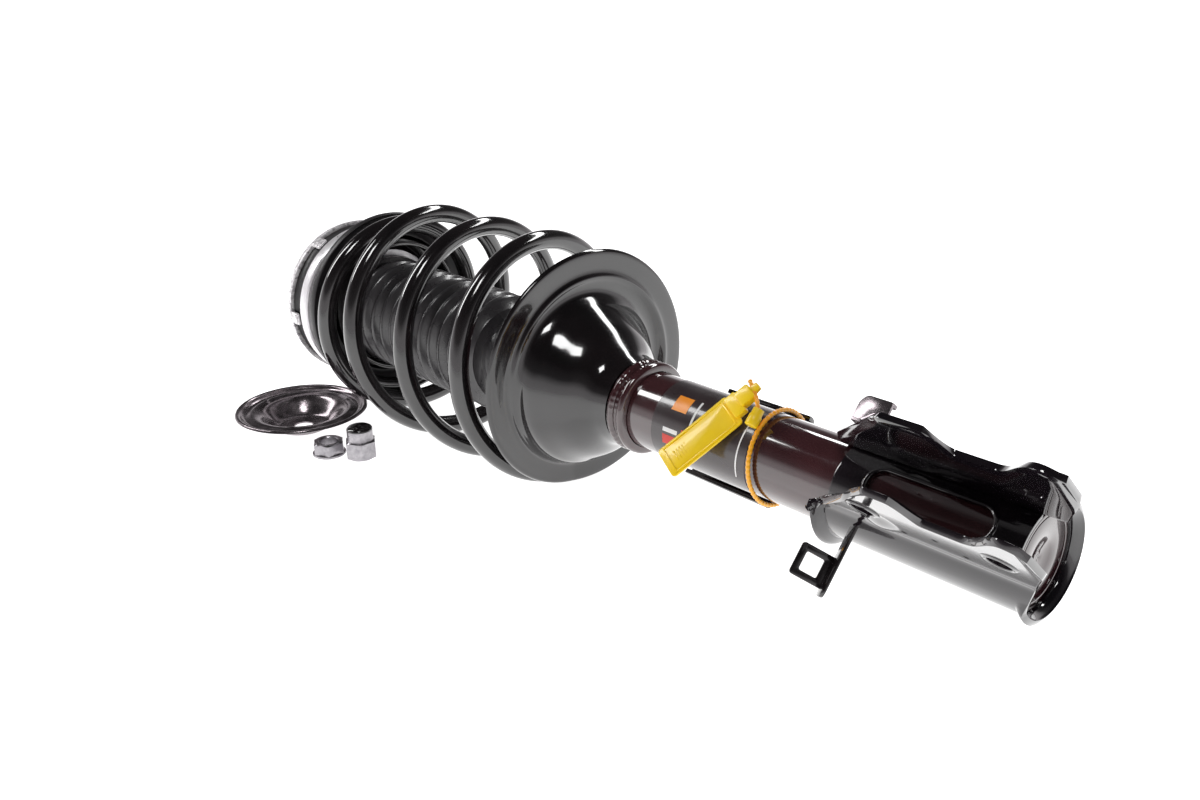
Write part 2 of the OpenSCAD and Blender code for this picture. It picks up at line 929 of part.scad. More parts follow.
cup_along = 516;
cup_aside = mount_r + coil_r - 59.5;   // clear of the mount and of the coils' flanks
cup_wall = 2;
module retainer_cup() {
    r = cup_d / 2;
    color([0.45, 0.42, 0.45])
        on_floor(cup_along, cup_aside)
            difference() {
                rotate_extrude()
                    polygon([
                        [0, 0], [22, 0], [36, cup_h - 7], [r - 9, cup_h - 5], [r - 3, cup_h - 5],
                        [r, cup_h - 3], [r, cup_h - 1], [r - 2, cup_h], [r - 5, cup_h - 1],
                        [r - 7, cup_h - 3], [r - 10, cup_h - 3], [r - 15, cup_h - 1.5],
                        [35, cup_h - 4], [21, cup_wall], [0, cup_wall]]);
                translate([0, 0, -1])
                    cylinder(r = stud_r + 0.4, h = 5);
            }
}

nut_along = 432;
nut_aside = coil_r + 2;
loose_nut_h = 15;
collar_r = 10;
module tower_nut() {
    color([0.35, 0.33, 0.36])
        on_floor(nut_along, nut_aside)
            difference() {
                union() {
                    hex(nut_af, loose_nut_h);
                    cylinder(r = collar_r, h = loose_nut_h + 8);
                }
                translate([0, 0, -1])
                    cylinder(r = stud_r + 0.15, h = loose_nut_h + 10);
            }
}

module nut_cap() {
    color(paint)
        on_floor(nut_along, nut_aside)
            translate([0, 0, loose_nut_h + 8.1])
                intersection() {
                    cylinder(r = collar_r, h = 4);
                    translate([0, 0, -21])
                        sphere(r = 24.5);
                }
}

spare_along = 454.5;
spare_aside = nut_aside + 15.5;
module spare_nut() {
    color(zinc)
        on_floor(spare_along, spare_aside)
            difference() {
                union() {
                    cylinder(r = 13, h = 2.5);
                    hex(nut_af, 11);
                }
                translate([0, 0, -1])
                    cylinder(r = stud_r + 0.15, h = 14);
            }
}

// ---------- assembly ----------

strut_tube();
base_cap();
knuckle_bracket();
bracket_insert();
lower_spring_seat();
seat_collar();
lower_spring_pad();
coil_spring();
spring_end_sleeve();
stabilizer_link_bracket();
brake_hose_bracket();
lead_bracket();
label_sleeve();
seal_tag();
seal_strap();
pressure_tube();
foot_valve();
rod_guide();
rod_seal();
tube_end_cap();
dust_bellows();
upper_spring_seat();
upper_spring_pad();
bearing_lower_race();
bearing_cage();
bearing_balls();
bearing_upper_race();
mount_plate();
mount_rubber();
mount_core();
mount_cover();
bump_stop();
piston_rod();
piston();
piston_band();
piston_nut();
rebound_stop();
rod_washer();
rod_nut();
retainer_cup();
tower_nut();
nut_cap();
spare_nut();
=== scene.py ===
import math

import bmesh
import bpy
from mathutils import Matrix, Vector


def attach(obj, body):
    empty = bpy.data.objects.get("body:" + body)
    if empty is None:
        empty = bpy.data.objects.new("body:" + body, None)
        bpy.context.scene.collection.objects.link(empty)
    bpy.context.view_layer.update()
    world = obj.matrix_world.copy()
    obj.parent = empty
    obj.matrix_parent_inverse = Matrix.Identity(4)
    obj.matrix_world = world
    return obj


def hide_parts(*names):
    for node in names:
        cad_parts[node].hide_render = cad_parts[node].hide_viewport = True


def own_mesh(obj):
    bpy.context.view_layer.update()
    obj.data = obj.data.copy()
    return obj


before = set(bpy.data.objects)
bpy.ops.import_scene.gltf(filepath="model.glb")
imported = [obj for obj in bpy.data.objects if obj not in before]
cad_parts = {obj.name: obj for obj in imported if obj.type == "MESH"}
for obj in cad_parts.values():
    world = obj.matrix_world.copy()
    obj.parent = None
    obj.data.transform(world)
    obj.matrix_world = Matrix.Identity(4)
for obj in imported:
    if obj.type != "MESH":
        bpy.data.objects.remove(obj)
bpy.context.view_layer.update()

# ---------------------------------------------------------------- sizes, mm, as in the part's source
EAR_LIFT_DEG = 41
BOLT_REACH = 52.0
TUBE_R, TUBE_BORE_R, TUBE_FOOT, TUBE_HEAD = 25.5, 23.0, 70.0, 340.0
SHEET = 3.6
EAR_MID = 17.3
SHELL_MID = 27.35
BRACKET_UP, BRACKET_DOWN, BRACKET_BACK = 44.0, 97.0, 76.0
BOLT_R, BOLT_PITCH = 6.3, 73.5
WIRE_R, COIL_R, LOW_COIL_R, TOP_COIL_R = 7.25, 83.22, 80.0, 69.0
PITCH, END_PITCH, SPRING_FOOT = 64.7, 6.0, 278.4
LOW_OFF, TOP_OFF = (-2.1, 9.8), (3.9, 4.5)
PAN_R, PAN_SHEET, DOME_R, DOME_Z, RAMP_SPAN = 86.0, 3.0, 57.0, 258.0, 75.0
NECK_Z = 213.0
PAD_LOW_H, SLEEVE_WALL = 4.0, 1.2
CAP_R, CAP_TOP, CAP_SKIRT = 27.5, 347.0, 14.0
MOUNT_R, RACE_R = 66.0, 62.5
STUD_R, SHANK_R, ROD_R = 7.0, 8.0, 10.0
NUT_H, STUD_FREE = 11.0, 30.0

# The wire's turns, as angles round the strut in degrees
REST_PHI = 90 - EAR_LIFT_DEG + 180
PHI_LOW = REST_PHI - 787.5
PHI_FLOOR = REST_PHI - 720
PHI_SHUT = REST_PHI + 331
PHI_TOP = PHI_LOW + 1560
EASE = 140.0
SPRING_TOP = 498.192

# Heights of the stack above the spring
PAD_Z = SPRING_TOP + WIRE_R + 0.2
SEAT_Z = PAD_Z + 7
RACE_Z = SEAT_Z + 3
TOP_RACE_Z = RACE_Z + 10.4
PLATE_Z = TOP_RACE_Z + 12
RUBBER_Z = PLATE_Z + 12
COVER_Z = RUBBER_Z + 13
WASHER_Z = RUBBER_Z + 9
NUT_Z = WASHER_Z + 3
NUT_TOP = NUT_Z + NUT_H
STUD_TOP = NUT_TOP + STUD_FREE
BELLOWS_LOW, BELLOWS_TOP = 348.0, SEAT_Z - 0.4
BELLOWS_R, BELLOWS_NECK_R = 44.0, 36.0
PAD_GAP = 0.8
PAN_DROP = WIRE_R + SLEEVE_WALL + 0.4 + PAD_LOW_H + PAD_GAP + PAN_SHEET

# The strut lies on its spring: the floor's height and the axis' place across it, m
COS, SIN = math.cos(math.radians(EAR_LIFT_DEG)), math.sin(math.radians(EAR_LIFT_DEG))
FLOOR = -0.118566
AXIS_Y = COS * BOLT_REACH / 1000


TURN = 2 * math.pi


def strut(x, y, z):
    """A point of the strut's own frame, mm, in the part's frame, m."""
    return Vector((-z, SIN * y - COS * (x - BOLT_REACH), COS * y + SIN * (x - BOLT_REACH))) / 1000


def around(r, a, z):
    return strut(r * math.cos(a), r * math.sin(a), z)


def off_low(r, a, z):
    """A point round the spring's lower end."""
    return strut(LOW_OFF[0] + r * math.cos(a), LOW_OFF[1] + r * math.sin(a), z)


def off_top(r, a, z):
    """A point round the spring's upper end."""
    return strut(TOP_OFF[0] + r * math.cos(a), TOP_OFF[1] + r * math.sin(a), z)


def mix(a, b, t):
    return a + (b - a) * t


def clamp01(t):
    return min(1.0, max(0.0, t))


def smooth(t):
    t = clamp01(t)
    return t * t * (3 - 2 * t)


def smooth_sum(t):
    return 0 if t <= 0 else t - 0.5 if t >= 1 else t ** 3 - t ** 4 / 2


def bump_at(t):
    return 0.0 if abs(t) >= 1 else (1 + math.cos(math.pi * t)) / 2


def coil_z(phi):
    eased = (PITCH - END_PITCH) * EASE / 360 * smooth_sum((phi - PHI_SHUT) / EASE)
    return SPRING_FOOT + PITCH * (phi - PHI_LOW) / 360 - eased


def coil_radius(phi):
    return (COIL_R - (COIL_R - TOP_COIL_R) * smooth((phi - PHI_SHUT + 60) / 260)
            - (COIL_R - LOW_COIL_R) * smooth((PHI_FLOOR + 40 - phi) / 107.5))


def coil_point(phi):
    z, r, a = coil_z(phi), coil_radius(phi), math.radians(phi)
    t = clamp01((z - SPRING_FOOT) / (SPRING_TOP - SPRING_FOOT))
    return Vector((mix(LOW_OFF[0], TOP_OFF[0], t) + r * math.cos(a),
                   mix(LOW_OFF[1], TOP_OFF[1], t) + r * math.sin(a), z))


# ---------------------------------------------------------------- materials
class Nodes:
    """Short hand for a procedural material."""

    def __init__(self, name):
        self.mat = bpy.data.materials.new(name)
        self.mat.use_nodes = True
        self.tree = self.mat.node_tree
        self.bsdf = self.tree.nodes["Principled BSDF"]
        self.coord = self.add("ShaderNodeTexCoord").outputs["Object"]

    def add(self, kind, **props):
        node = self.tree.nodes.new(kind)
        for key, value in props.items():
            setattr(node, key, value)
        return node

    def link(self, a, b):
        self.tree.links.new(a, b)

    def put(self, socket, value):
        if hasattr(value, "links"):
            self.link(value, socket)
        else:
            socket.default_value = value

    def noise(self, scale, detail=4, rough=0.55, stretch=None):
        node = self.add("ShaderNodeTexNoise")
        node.inputs["Scale"].default_value = scale
        node.inputs["Detail"].default_value = detail
        node.inputs["Roughness"].default_value = rough
        source = self.coord
        if stretch:
            mapping = self.add("ShaderNodeMapping")
            mapping.inputs["Scale"].default_value = stretch
            self.link(self.coord, mapping.inputs["Vector"])
            source = mapping.outputs["Vector"]
        self.link(source, node.inputs["Vector"])
        return node.outputs["Fac"]

    def ramp(self, fac, stops):
        node = self.add("ShaderNodeValToRGB")
        element = node.color_ramp.elements
        while len(element) < len(stops):
            element.new(0.5)
        for e, (pos, col) in zip(element, stops):
            e.position = pos
            e.color = col if len(col) == 4 else (*col, 1)
        self.link(fac, node.inputs["Fac"])
        return node.outputs["Color"]

    def scaled(self, fac, low, high, start=0.0, end=1.0):
        node = self.add("ShaderNodeMapRange")
        node.inputs["From Min"].default_value = start
        node.inputs["From Max"].default_value = end
        node.inputs["To Min"].default_value = low
        node.inputs["To Max"].default_value = high
        self.link(fac, node.inputs["Value"])
        return node.outputs["Result"]

    def bumped(self, layers):
        normal = None
        for height, strength, distance in layers:
            node = self.add("ShaderNodeBump")
            node.inputs["Strength"].default_value = strength
            node.inputs["Distance"].default_value = distance
            self.link(height, node.inputs["Height"])
            if normal is not None:
                self.link(normal, node.inputs["Normal"])
            normal = node.outputs["Normal"]
        self.link(normal, self.bsdf.inputs["Normal"])

    def set(self, **values):
        for key, value in values.items():
            self.put(self.bsdf.inputs[key.replace("_", " ")], value)
        return self


def gloss_paint(name, dark, light, rough=(0.08, 0.16), coat=0.7, ior=1.55, peel=0.02):
    """Baked enamel: faint colour drift, patchy gloss and orange peel."""
    n = Nodes(name)
    drift = n.noise(22, 5)
    n.set(Base_Color=n.ramp(drift, [(0.35, dark), (0.7, light)]), IOR=ior,
          Roughness=n.scaled(n.noise(60, 6), rough[0], rough[1], 0.35, 0.7))
    n.bsdf.inputs["Coat Weight"].default_value = coat
    n.bsdf.inputs["Coat Roughness"].default_value = 0.04
    n.bsdf.inputs["Coat IOR"].default_value = 1.6
    n.bumped([(n.noise(420, 3), peel, 0.0006), (n.noise(70, 2), peel, 0.002)])
    return n.mat


def metal(name, dark, light, rough=(0.2, 0.4), grain=(1, 1, 1), bump=0.1, metallic=1.0):
    n = Nodes(name)
    streak = n.noise(260, 5, 0.6, grain)
    n.set(Base_Color=n.ramp(streak, [(0.3, dark), (0.75, light)]), Metallic=metallic,
          Roughness=n.scaled(n.noise(90, 5), rough[0], rough[1], 0.3, 0.7))
    n.bumped([(streak, bump, 0.0004)])
    return n.mat


def soft(name, dark, light, rough=(0.35, 0.6), bump=0.2, scale=300, ior=1.5, coat=0.0):
    n = Nodes(name)
    drift = n.noise(28, 6, 0.6)
    n.set(Base_Color=n.ramp(drift, [(0.3, dark), (0.7, light)]), IOR=ior,
          Roughness=n.scaled(n.noise(45, 6), rough[0], rough[1], 0.3, 0.7))
    n.bsdf.inputs["Coat Weight"].default_value = coat
    n.bsdf.inputs["Coat Roughness"].default_value = 0.08
    n.bumped([(n.noise(scale, 4), bump, 0.0005), (n.noise(60, 3), bump * 0.6, 0.0015)])
    return n.mat


BLACK = gloss_paint("enamel_black", (0.004, 0.0035, 0.004), (0.012, 0.009, 0.010))
BRACKET = gloss_paint("enamel_bracket", (0.005, 0.004, 0.006), (0.014, 0.010, 0.013),
                      rough=(0.07, 0.14), coat=0.8, ior=1.55, peel=0.01)
WIRE = gloss_paint("enamel_wire", (0.005, 0.0045, 0.005), (0.015, 0.012, 0.013), rough=(0.08, 0.16),
                   peel=0.02)
TUBE = gloss_paint("enamel_tube", (0.030, 0.009, 0.011), (0.058, 0.020, 0.023), rough=(0.08, 0.16),
                   coat=1.0, ior=1.6)
FILM = soft("film", (0.030, 0.022, 0.024), (0.046, 0.034, 0.036), rough=(0.16, 0.26), bump=0.05, coat=0.6)
PRINT_ORANGE = soft("print_orange", (0.85, 0.25, 0.02), (0.95, 0.33, 0.03), rough=(0.25, 0.35), bump=0.03)
PRINT_RED = soft("print_red", (0.55, 0.03, 0.02), (0.7, 0.05, 0.03), rough=(0.25, 0.35), bump=0.03)
PRINT_WHITE = soft("print_white", (0.72, 0.72, 0.72), (0.85, 0.85, 0.85), rough=(0.25, 0.35), bump=0.03)
RUBBER = soft("rubber_black", (0.010, 0.009, 0.010), (0.022, 0.020, 0.022), rough=(0.3, 0.5), bump=0.15)
BELLOWS = soft("rubber_bellows", (0.026, 0.024, 0.026), (0.062, 0.058, 0.062), rough=(0.2, 0.36),
               bump=0.06, ior=1.6, coat=0.4)
SLEEVE = soft("rubber_sleeve", (0.02, 0.02, 0.02), (0.05, 0.048, 0.05), rough=(0.3, 0.45), bump=0.1)
ZINC = metal("zinc", (0.74, 0.72, 0.74), (0.92, 0.90, 0.92), rough=(0.24, 0.42), grain=(5, 1, 1),
             metallic=0.55)
STEEL = metal("bright_steel", (0.62, 0.61, 0.63), (0.82, 0.81, 0.83), rough=(0.12, 0.25), grain=(1, 1, 6))
CHROME = metal("ground_chrome", (0.8, 0.8, 0.82), (0.88, 0.88, 0.9), rough=(0.04, 0.1), grain=(8, 1, 1),
               bump=0.03)
NUT_STEEL = metal("nut_steel", (0.28, 0.27, 0.29), (0.48, 0.46, 0.48), rough=(0.25, 0.4), bump=0.12)
CUP_STEEL = metal("cup_steel", (0.15, 0.13, 0.14), (0.30, 0.265, 0.28), rough=(0.12, 0.26), bump=0.06,
                  metallic=0.85)
YELLOW = soft("tag_yellow", (0.93, 0.60, 0.004), (1.0, 0.72, 0.01), rough=(0.28, 0.42), bump=0.06, coat=0.3)
ORANGE = soft("strap_orange", (0.95, 0.36, 0.003), (1.0, 0.47, 0.008), rough=(0.28, 0.42), bump=0.06,
              coat=0.3)
FOAM = soft("foam_tan", (0.36, 0.30, 0.15), (0.52, 0.45, 0.26), rough=(0.75, 0.9), bump=0.5, scale=700)


def speckled(name):
    """Pale moulded rim with the grey flecks of a spangled coating."""
    n = Nodes(name)
    cells = n.add("ShaderNodeTexVoronoi")
    cells.inputs["Scale"].default_value = 420
    n.link(n.coord, cells.inputs["Vector"])
    fleck = n.ramp(cells.outputs["Color"], [(0.2, (0.5, 0.48, 0.5)), (0.55, (0.92, 0.90, 0.91))])
    n.set(Base_Color=fleck, Roughness=n.scaled(n.noise(120, 4), 0.25, 0.5, 0.3, 0.7), Metallic=0.35)
    n.bumped([(n.noise(380, 4), 0.15, 0.0005)])
    return n.mat


RIM = speckled("spangled_rim")


# ---------------------------------------------------------------- mesh helpers
def mesh_object(name, points, faces, weld=False):
    """A closed or open mesh from points in metres, with its faces turned outwards."""
    mesh = bpy.data.meshes.new(name)
    mesh.from_pydata([tuple(p) for p in points], [], faces)
    bm = bmesh.new()
    bm.from_mesh(mesh)
    if weld:
        bmesh.ops.remove_doubles(bm, verts=bm.verts, dist=1e-6)
    bmesh.ops.recalc_face_normals(bm, faces=bm.faces)
    bm.to_mesh(mesh)
    bm.free()
    obj = bpy.data.objects.new(name, mesh)
    bpy.context.scene.collection.objects.link(obj)
    return obj


def piece(name, points, faces, mat, body, slot, smooth_angle=38, bevel=0.0, replaces=()):
    """A visible piece on a body; edges sharper than smooth_angle stay sharp."""
    obj = mesh_object(name, points, faces, weld=True)
    obj.data.materials.append(mat)
    if bevel:
        soften_edges(obj, bevel, 40)
    finish_shading(obj, smooth_angle)
    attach(obj, body)
    if replaces:
        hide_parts(*replaces)
    return obj


def soften_edges(obj, width, limit):
    """Rounds the edges sharper than limit degrees by a width in mm."""
    mod = obj.modifiers.new("edge", "BEVEL")
    mod.width, mod.segments = width / 1000, 2
    mod.limit_method, mod.angle_limit = "ANGLE", math.radians(limit)
    bake(obj)


def thicken(obj, thick):
    """Turns a surface into sheet of a thickness in mm, half of it on each side."""
    mod = obj.modifiers.new("sheet", "SOLIDIFY")
    mod.thickness, mod.offset = thick / 1000, 0
    bake(obj)


def finish_shading(obj, angle=38):
    for poly in obj.data.polygons:
        poly.use_smooth = True
    obj.data.set_sharp_from_angle(angle=math.radians(angle))


def bake(obj):
    """Applies every modifier."""
    graph = bpy.context.evaluated_depsgraph_get()
    mesh = bpy.data.meshes.new_from_object(obj.evaluated_get(graph))
    obj.modifiers.clear()
    old = obj.data
    obj.data = mesh
    bpy.data.meshes.remove(old)


def cut(obj, cutters):
    """Takes the cutters out of a piece and deletes them."""
    for c in cutters:
        mod = obj.modifiers.new("cut", "BOOLEAN")
        mod.operation = "DIFFERENCE"
        mod.solver = "EXACT"
        mod.object = c
    bake(obj)
    for c in cutters:
        bpy.data.objects.remove(c, do_unlink=True)


def cutter(points, faces):
    return mesh_object("cutter", points, faces)


def prism(outline, place, low, high):
    """Points and faces of a 2-D outline pushed from low to high; place maps (u, v, w) to metres."""
    n = len(outline)
    points = [place(u, v, low) for u, v in outline] + [place(u, v, high) for u, v in outline]
    faces = [list(range(n)), list(range(2 * n - 1, n - 1, -1))]
    faces += [[k, (k + 1) % n, n + (k + 1) % n, n + k] for k in range(n)]
    return points, faces


def rounded(outline, radius, steps=5):
    """Rounds the corners of a closed 2-D outline; radius may be a number or a list."""
    out = []
    n = len(outline)
    for i, p in enumerate(outline):
        p = Vector(p)
        a, b = Vector(outline[i - 1]) - p, Vector(outline[(i + 1) % n]) - p
        r = radius[i] if isinstance(radius, (list, tuple)) else radius
        r = min(r, a.length * 0.45, b.length * 0.45)
        a, b = p + a.normalized() * r, p + b.normalized() * r
        for k in range(steps + 1):
            t = k / steps
            out.append(((1 - t) ** 2) * a + 2 * t * (1 - t) * p + t * t * b)
    return [(q.x, q.y) for q in out]


def loop_faces(rows, cols, closed_rows=True, closed_cols=True):
    """Quads between rows of points, closed or open along the rows and across them."""
    faces = []
    for i in range(rows if closed_rows else rows - 1):
        for k in range(cols if closed_cols else cols - 1):
            j, q = (i + 1) % rows, (k + 1) % cols
            faces.append([i * cols + k, i * cols + q, j * cols + q, j * cols + k])
    return faces


def lathe_mesh(profile, count=144, place=None):
    """Closed profile [(radius, height)] turned about an axis; place maps (r, angle, h) to metres."""
    place = place or around
    points = [place(r, TURN * i / count, z) for i in range(count) for r, z in profile]
    return points, loop_faces(count, len(profile))


def lifted(z, line):
    """A profile's (radius, height) points with their heights counted from z."""
    return [(r, z + h) for r, h in line]


def lathe(name, profile, mat, body, slot, replaces=(), bevel=0.5, count=144, place=None, angle=38):
    """A turned piece from its closed profile."""
    points, faces = lathe_mesh(profile, count, place)
    return piece(name, points, faces, mat, body, slot, angle, bevel, replaces)


def curve_through(points, steps=6, closed=False):
    """Catmull-Rom line through 2-D or 3-D points."""
    points = [Vector(p) for p in points]
    n = len(points)
    out = []
    for i in range(n if closed else n - 1):
        get = (lambda k: points[k % n]) if closed else (lambda k: points[min(n - 1, max(0, k))])
        p0, p1, p2, p3 = get(i - 1), get(i), get(i + 1), get(i + 2)
        for k in range(steps):
            t = k / steps
            out.append(0.5 * (2 * p1 + (p2 - p0) * t + (2 * p0 - 5 * p1 + 4 * p2 - p3) * t * t
                              + (3 * p1 - p0 - 3 * p2 + p3) * t ** 3))
    if not closed:
        out.append(points[-1])
    return out


def offset_profile(line, thick):
    """A 2-D line closed by its own offset on the left-hand side."""
    n = len(line)
    other = []
    for i in range(n - 1, -1, -1):
        a, b = line[max(0, i - 1)], line[min(n - 1, i + 1)]
        t = (Vector(b) - Vector(a)).normalized()
        other.append((line[i][0] - t.y * thick, line[i][1] + t.x * thick))
    return [(p[0], p[1]) for p in line] + other


def tube_rings(path, radius, sides=24):
    """Points and faces of a round rod along a path in metres; radius maps a step to metres."""
    n = len(path)
    points = []
    normal = None
    for i, p in enumerate(path):
        t = (path[min(n - 1, i + 1)] - path[max(0, i - 1)]).normalized()
        if normal is None:
            normal = t.orthogonal()
        normal = (normal - t * normal.dot(t)).normalized()
        side = t.cross(normal)
        r = radius(i)
        points += [p + (normal * math.cos(TURN * k / sides) + side * math.sin(TURN * k / sides)) * r
                   for k in range(sides)]
    return points, rod_faces(n, sides)


def rod_faces(rings, sides):
    """Faces of a rod of closed rings, with its two ends."""
    faces = loop_faces(rings, sides, closed_rows=False)
    return faces + [list(range(sides - 1, -1, -1)), [(rings - 1) * sides + k for k in range(sides)]]


def join(parts):
    """One list of points and faces from several."""
    points, faces = [], []
    for p, f in parts:
        base = len(points)
        points += p
        faces += [[base + k for k in face] for face in f]
    return points, faces


# ---------------------------------------------------------------- damper tube
lathe("strut_tube_skin", [(TUBE_R, -TUBE_FOOT), (TUBE_R, -60), (TUBE_R, 0), (TUBE_R, 80), (TUBE_R, 180),
                          (TUBE_R, 260), (TUBE_R, TUBE_HEAD), (TUBE_BORE_R, TUBE_HEAD), (TUBE_BORE_R, 100),
                          (TUBE_BORE_R, -TUBE_FOOT)],
      TUBE, "strut_body", "tube_paint", ["strut_tube"], bevel=0.8)
# Closing cap in the tube's lower end
CAP_IN = 4 - TUBE_FOOT
lathe("base_cap_skin", [(0.02, CAP_IN), (0.02, -TUBE_FOOT + 2.2), (4, -TUBE_FOOT + 2.0),
                        (9.2, -TUBE_FOOT + 0.8),
                        (11, -TUBE_FOOT), (TUBE_BORE_R - 0.2, -TUBE_FOOT), (TUBE_BORE_R - 0.2, CAP_IN)],
      TUBE, "strut_body", "tube_paint", ["base_cap"], bevel=0.5)
lathe("tube_end_cap_skin", [(CAP_R, TUBE_HEAD - CAP_SKIRT), (CAP_R, CAP_TOP - 1.5), (CAP_R - 1.5, CAP_TOP),
                            (14, CAP_TOP), (12.5, CAP_TOP - 1), (ROD_R + 0.6, CAP_TOP - 1),
                            (ROD_R + 0.6, TUBE_HEAD + 0.2), (TUBE_R + 0.1, TUBE_HEAD + 0.2),
                            (TUBE_R + 0.1, TUBE_HEAD - CAP_SKIRT)],
      BLACK, "strut_body", "black_paint", ["tube_end_cap"], bevel=0.4)


# Two rolled rings with a weld's ripple between them
def collar_place(r, a, z):
    ripple = 0.12 * math.sin(a * 46) * bump_at((z - 205.5) / 4.5) + 0.05 * math.sin(a * 17 + z)
    return around(r + (ripple if r > 27.5 else 0), a, z)


collar = [(26.0, 196.2)]
for centre in (199.6, 208.1):
    collar += [(28.0 + 3.0 * math.cos(t), centre + 3.1 * math.sin(t))
               for t in [math.radians(-75 + 15 * k) for k in range(11)]]
    collar += [(28.2, centre + 4.2)]
collar += [(26.0, 212.6)]
lathe("seat_collar_beads", collar, TUBE, "strut_body", "tube_paint", ["seat_collar"], bevel=0, count=288,
      place=collar_place)

# ---------------------------------------------------------------- knuckle bracket
HUMP_W, HUMP_HI, HUMP_LO = 27.0, -40.0, -(BOLT_PITCH + 13)
VALLEY, PEAK = BOLT_REACH + 17, BOLT_REACH + 39
CORNER_Z, CORNER_X = -80.2, 17.5
EAR_STEPS, FILLET_STEPS, BACK_STEPS = 33, 6, 60
ROOT_A = math.atan2(EAR_MID, math.sqrt(SHELL_MID ** 2 - EAR_MID ** 2))
ROOT_X = SHELL_MID * math.cos(ROOT_A)
FILLET_REACH, FILLET_TURN = 4.5, 0.16


def ear_edge(z, side):
    """Reach of an ear's edge at height z; side is -1 on the near ear, 1 on the far one."""
    hump = max(smooth((z - HUMP_HI) / 10), bump_at((z - HUMP_LO) / HUMP_W))
    return min(mix(VALLEY, PEAK, hump), PEAK - 1.12 * (z + 12 - 5 * side))


def lower_end(x):
    """Height of the bracket's slanted lower end at distance x from the tube's axis."""
    if x < 6:
        return -BRACKET_BACK
    if x < CORNER_X:
        return mix(-BRACKET_BACK, CORNER_Z, (x - 6) / (CORNER_X - 6))
    return mix(CORNER_Z, -BRACKET_DOWN, min(1, (x - CORNER_X) / 42.5))


def ear_line(side, edge):
    """One ear's section from its edge to the fillet at its root."""
    root = Vector((ROOT_X, side * EAR_MID))
    start = Vector((ROOT_X + FILLET_REACH, side * EAR_MID))
    turn = ROOT_A + FILLET_TURN
    end = Vector((SHELL_MID * math.cos(turn), side * SHELL_MID * math.sin(turn)))
    line = [Vector((mix(edge, ROOT_X + FILLET_REACH, k / EAR_STEPS), side * EAR_MID))
            for k in range(EAR_STEPS + 1)]
    for k in range(1, FILLET_STEPS):
        t = k / FILLET_STEPS
        line.append((1 - t) ** 2 * start + 2 * t * (1 - t) * root + t * t * end)
    return line


def back_line():
    """The shell's section round the tube, from fillet to fillet."""
    start = ROOT_A + FILLET_TURN
    angles = [-mix(start, TURN - ROOT_A - FILLET_TURN, k / BACK_STEPS) for k in range(BACK_STEPS + 1)]
    return [Vector((SHELL_MID * math.cos(a), SHELL_MID * math.sin(a))) for a in angles]


def ear_relief(x, z, low, free, side):
    """How far the pressing stands out of an ear's plane; free is the distance to the ear's edge."""
    curl = 1.6 * smooth((-low - BRACKET_DOWN + 8) / 8) ** 1.5
    tip = 0.0
    if z > -10:
        tip = (3.6 if side < 0 else 2.6) * smooth(1 - free / 7) ** 1.5 * smooth((z + 10) / 14)
    tip = max(tip, 1.1 * smooth(1 - free / 5) ** 2)
    if side < 0:
        swell = 2.4 * bump_at(math.hypot((x - 36) / 17, (z + 3) / 13))
        swell -= 1.3 * smooth(1 - (abs(x - 27.5) - 5) / 2) * smooth(1 - (abs(z - 24) - 13) / 2)
    else:
        swell = 1.6 * bump_at(math.hypot((x - 36) / 15, (z + 3) / 12))
    return max(curl, tip) + swell


def end_lips(p, low):
    """Lips turned out at the near side's upper end and round the back's lower end."""
    upper = 6.4 * smooth((low - 37.4) / 6.6) ** 1.4 * smooth((-p.y - 9) / 7)
    lower = 3.6 * smooth((-low - BRACKET_BACK + 5.2) / 5.2) ** 1.3 * smooth((12 - p.x) / 6)
    return upper + lower


def bracket_row(z):
    """Middle of the sheet at height z, from the near ear's edge round the back to the far ear's edge."""
    near, far = ear_edge(z, -1), ear_edge(z, 1)
    flat = [(p, near, -1) for p in ear_line(-1, near)]
    flat += [(p, 999.0, -1 if k < BACK_STEPS / 2 else 1) for k, p in enumerate(back_line())]
    flat += [(p, far, 1) for p in ear_line(1, far)[::-1]]
    row = []
    for p, edge, side in flat:
        x, y = p.x, p.y
        low = z + (lower_end(x) + BRACKET_DOWN) * max(0.0, 1 - (z + BRACKET_DOWN) / 60)
        on_ear = smooth((x - ROOT_X - 1) / 5) if abs(y) > 14 and x > 0 else 0.0
        lip = end_lips(p, low)
        y += side * on_ear * (ear_relief(x, z, low, edge - x, side) + lip)
        if on_ear < 1:
            grow = lip * (1 - on_ear) / math.hypot(x, p.y)
            x, y = x + x * grow, y + p.y * grow
        row.append(strut(x, y, low))
    return row


# Even rows, with finer ones where the upper lip turns out
heights = [round(mix(-BRACKET_DOWN, BRACKET_UP, i / 100), 3) for i in range(101)]
heights = sorted(set(heights + [38.2, 39.6, 41.0, 41.8, 42.4, 43.2]))
rows = [bracket_row(h) for h in heights]
bracket = piece("knuckle_bracket_sheet", sum(rows, []), loop_faces(len(rows), len(rows[0]), False, False),
                BRACKET, "strut_body", "black_paint", replaces=["knuckle_bracket"])
thicken(bracket, SHEET)
soften_edges(bracket, 0.8, 50)


def drill(x, y, z, r, reach, sides=48):
    """A round cutter along the bolt axis, centred on a point of the strut's frame."""
    circle = [(r * math.cos(TURN * k / sides), r * math.sin(TURN * k / sides)) for k in range(sides)]
    pts, fcs = prism(circle, lambda u, v, w: strut(x + u, y + w, z + v), -reach, reach)
    return cutter(pts, fcs)


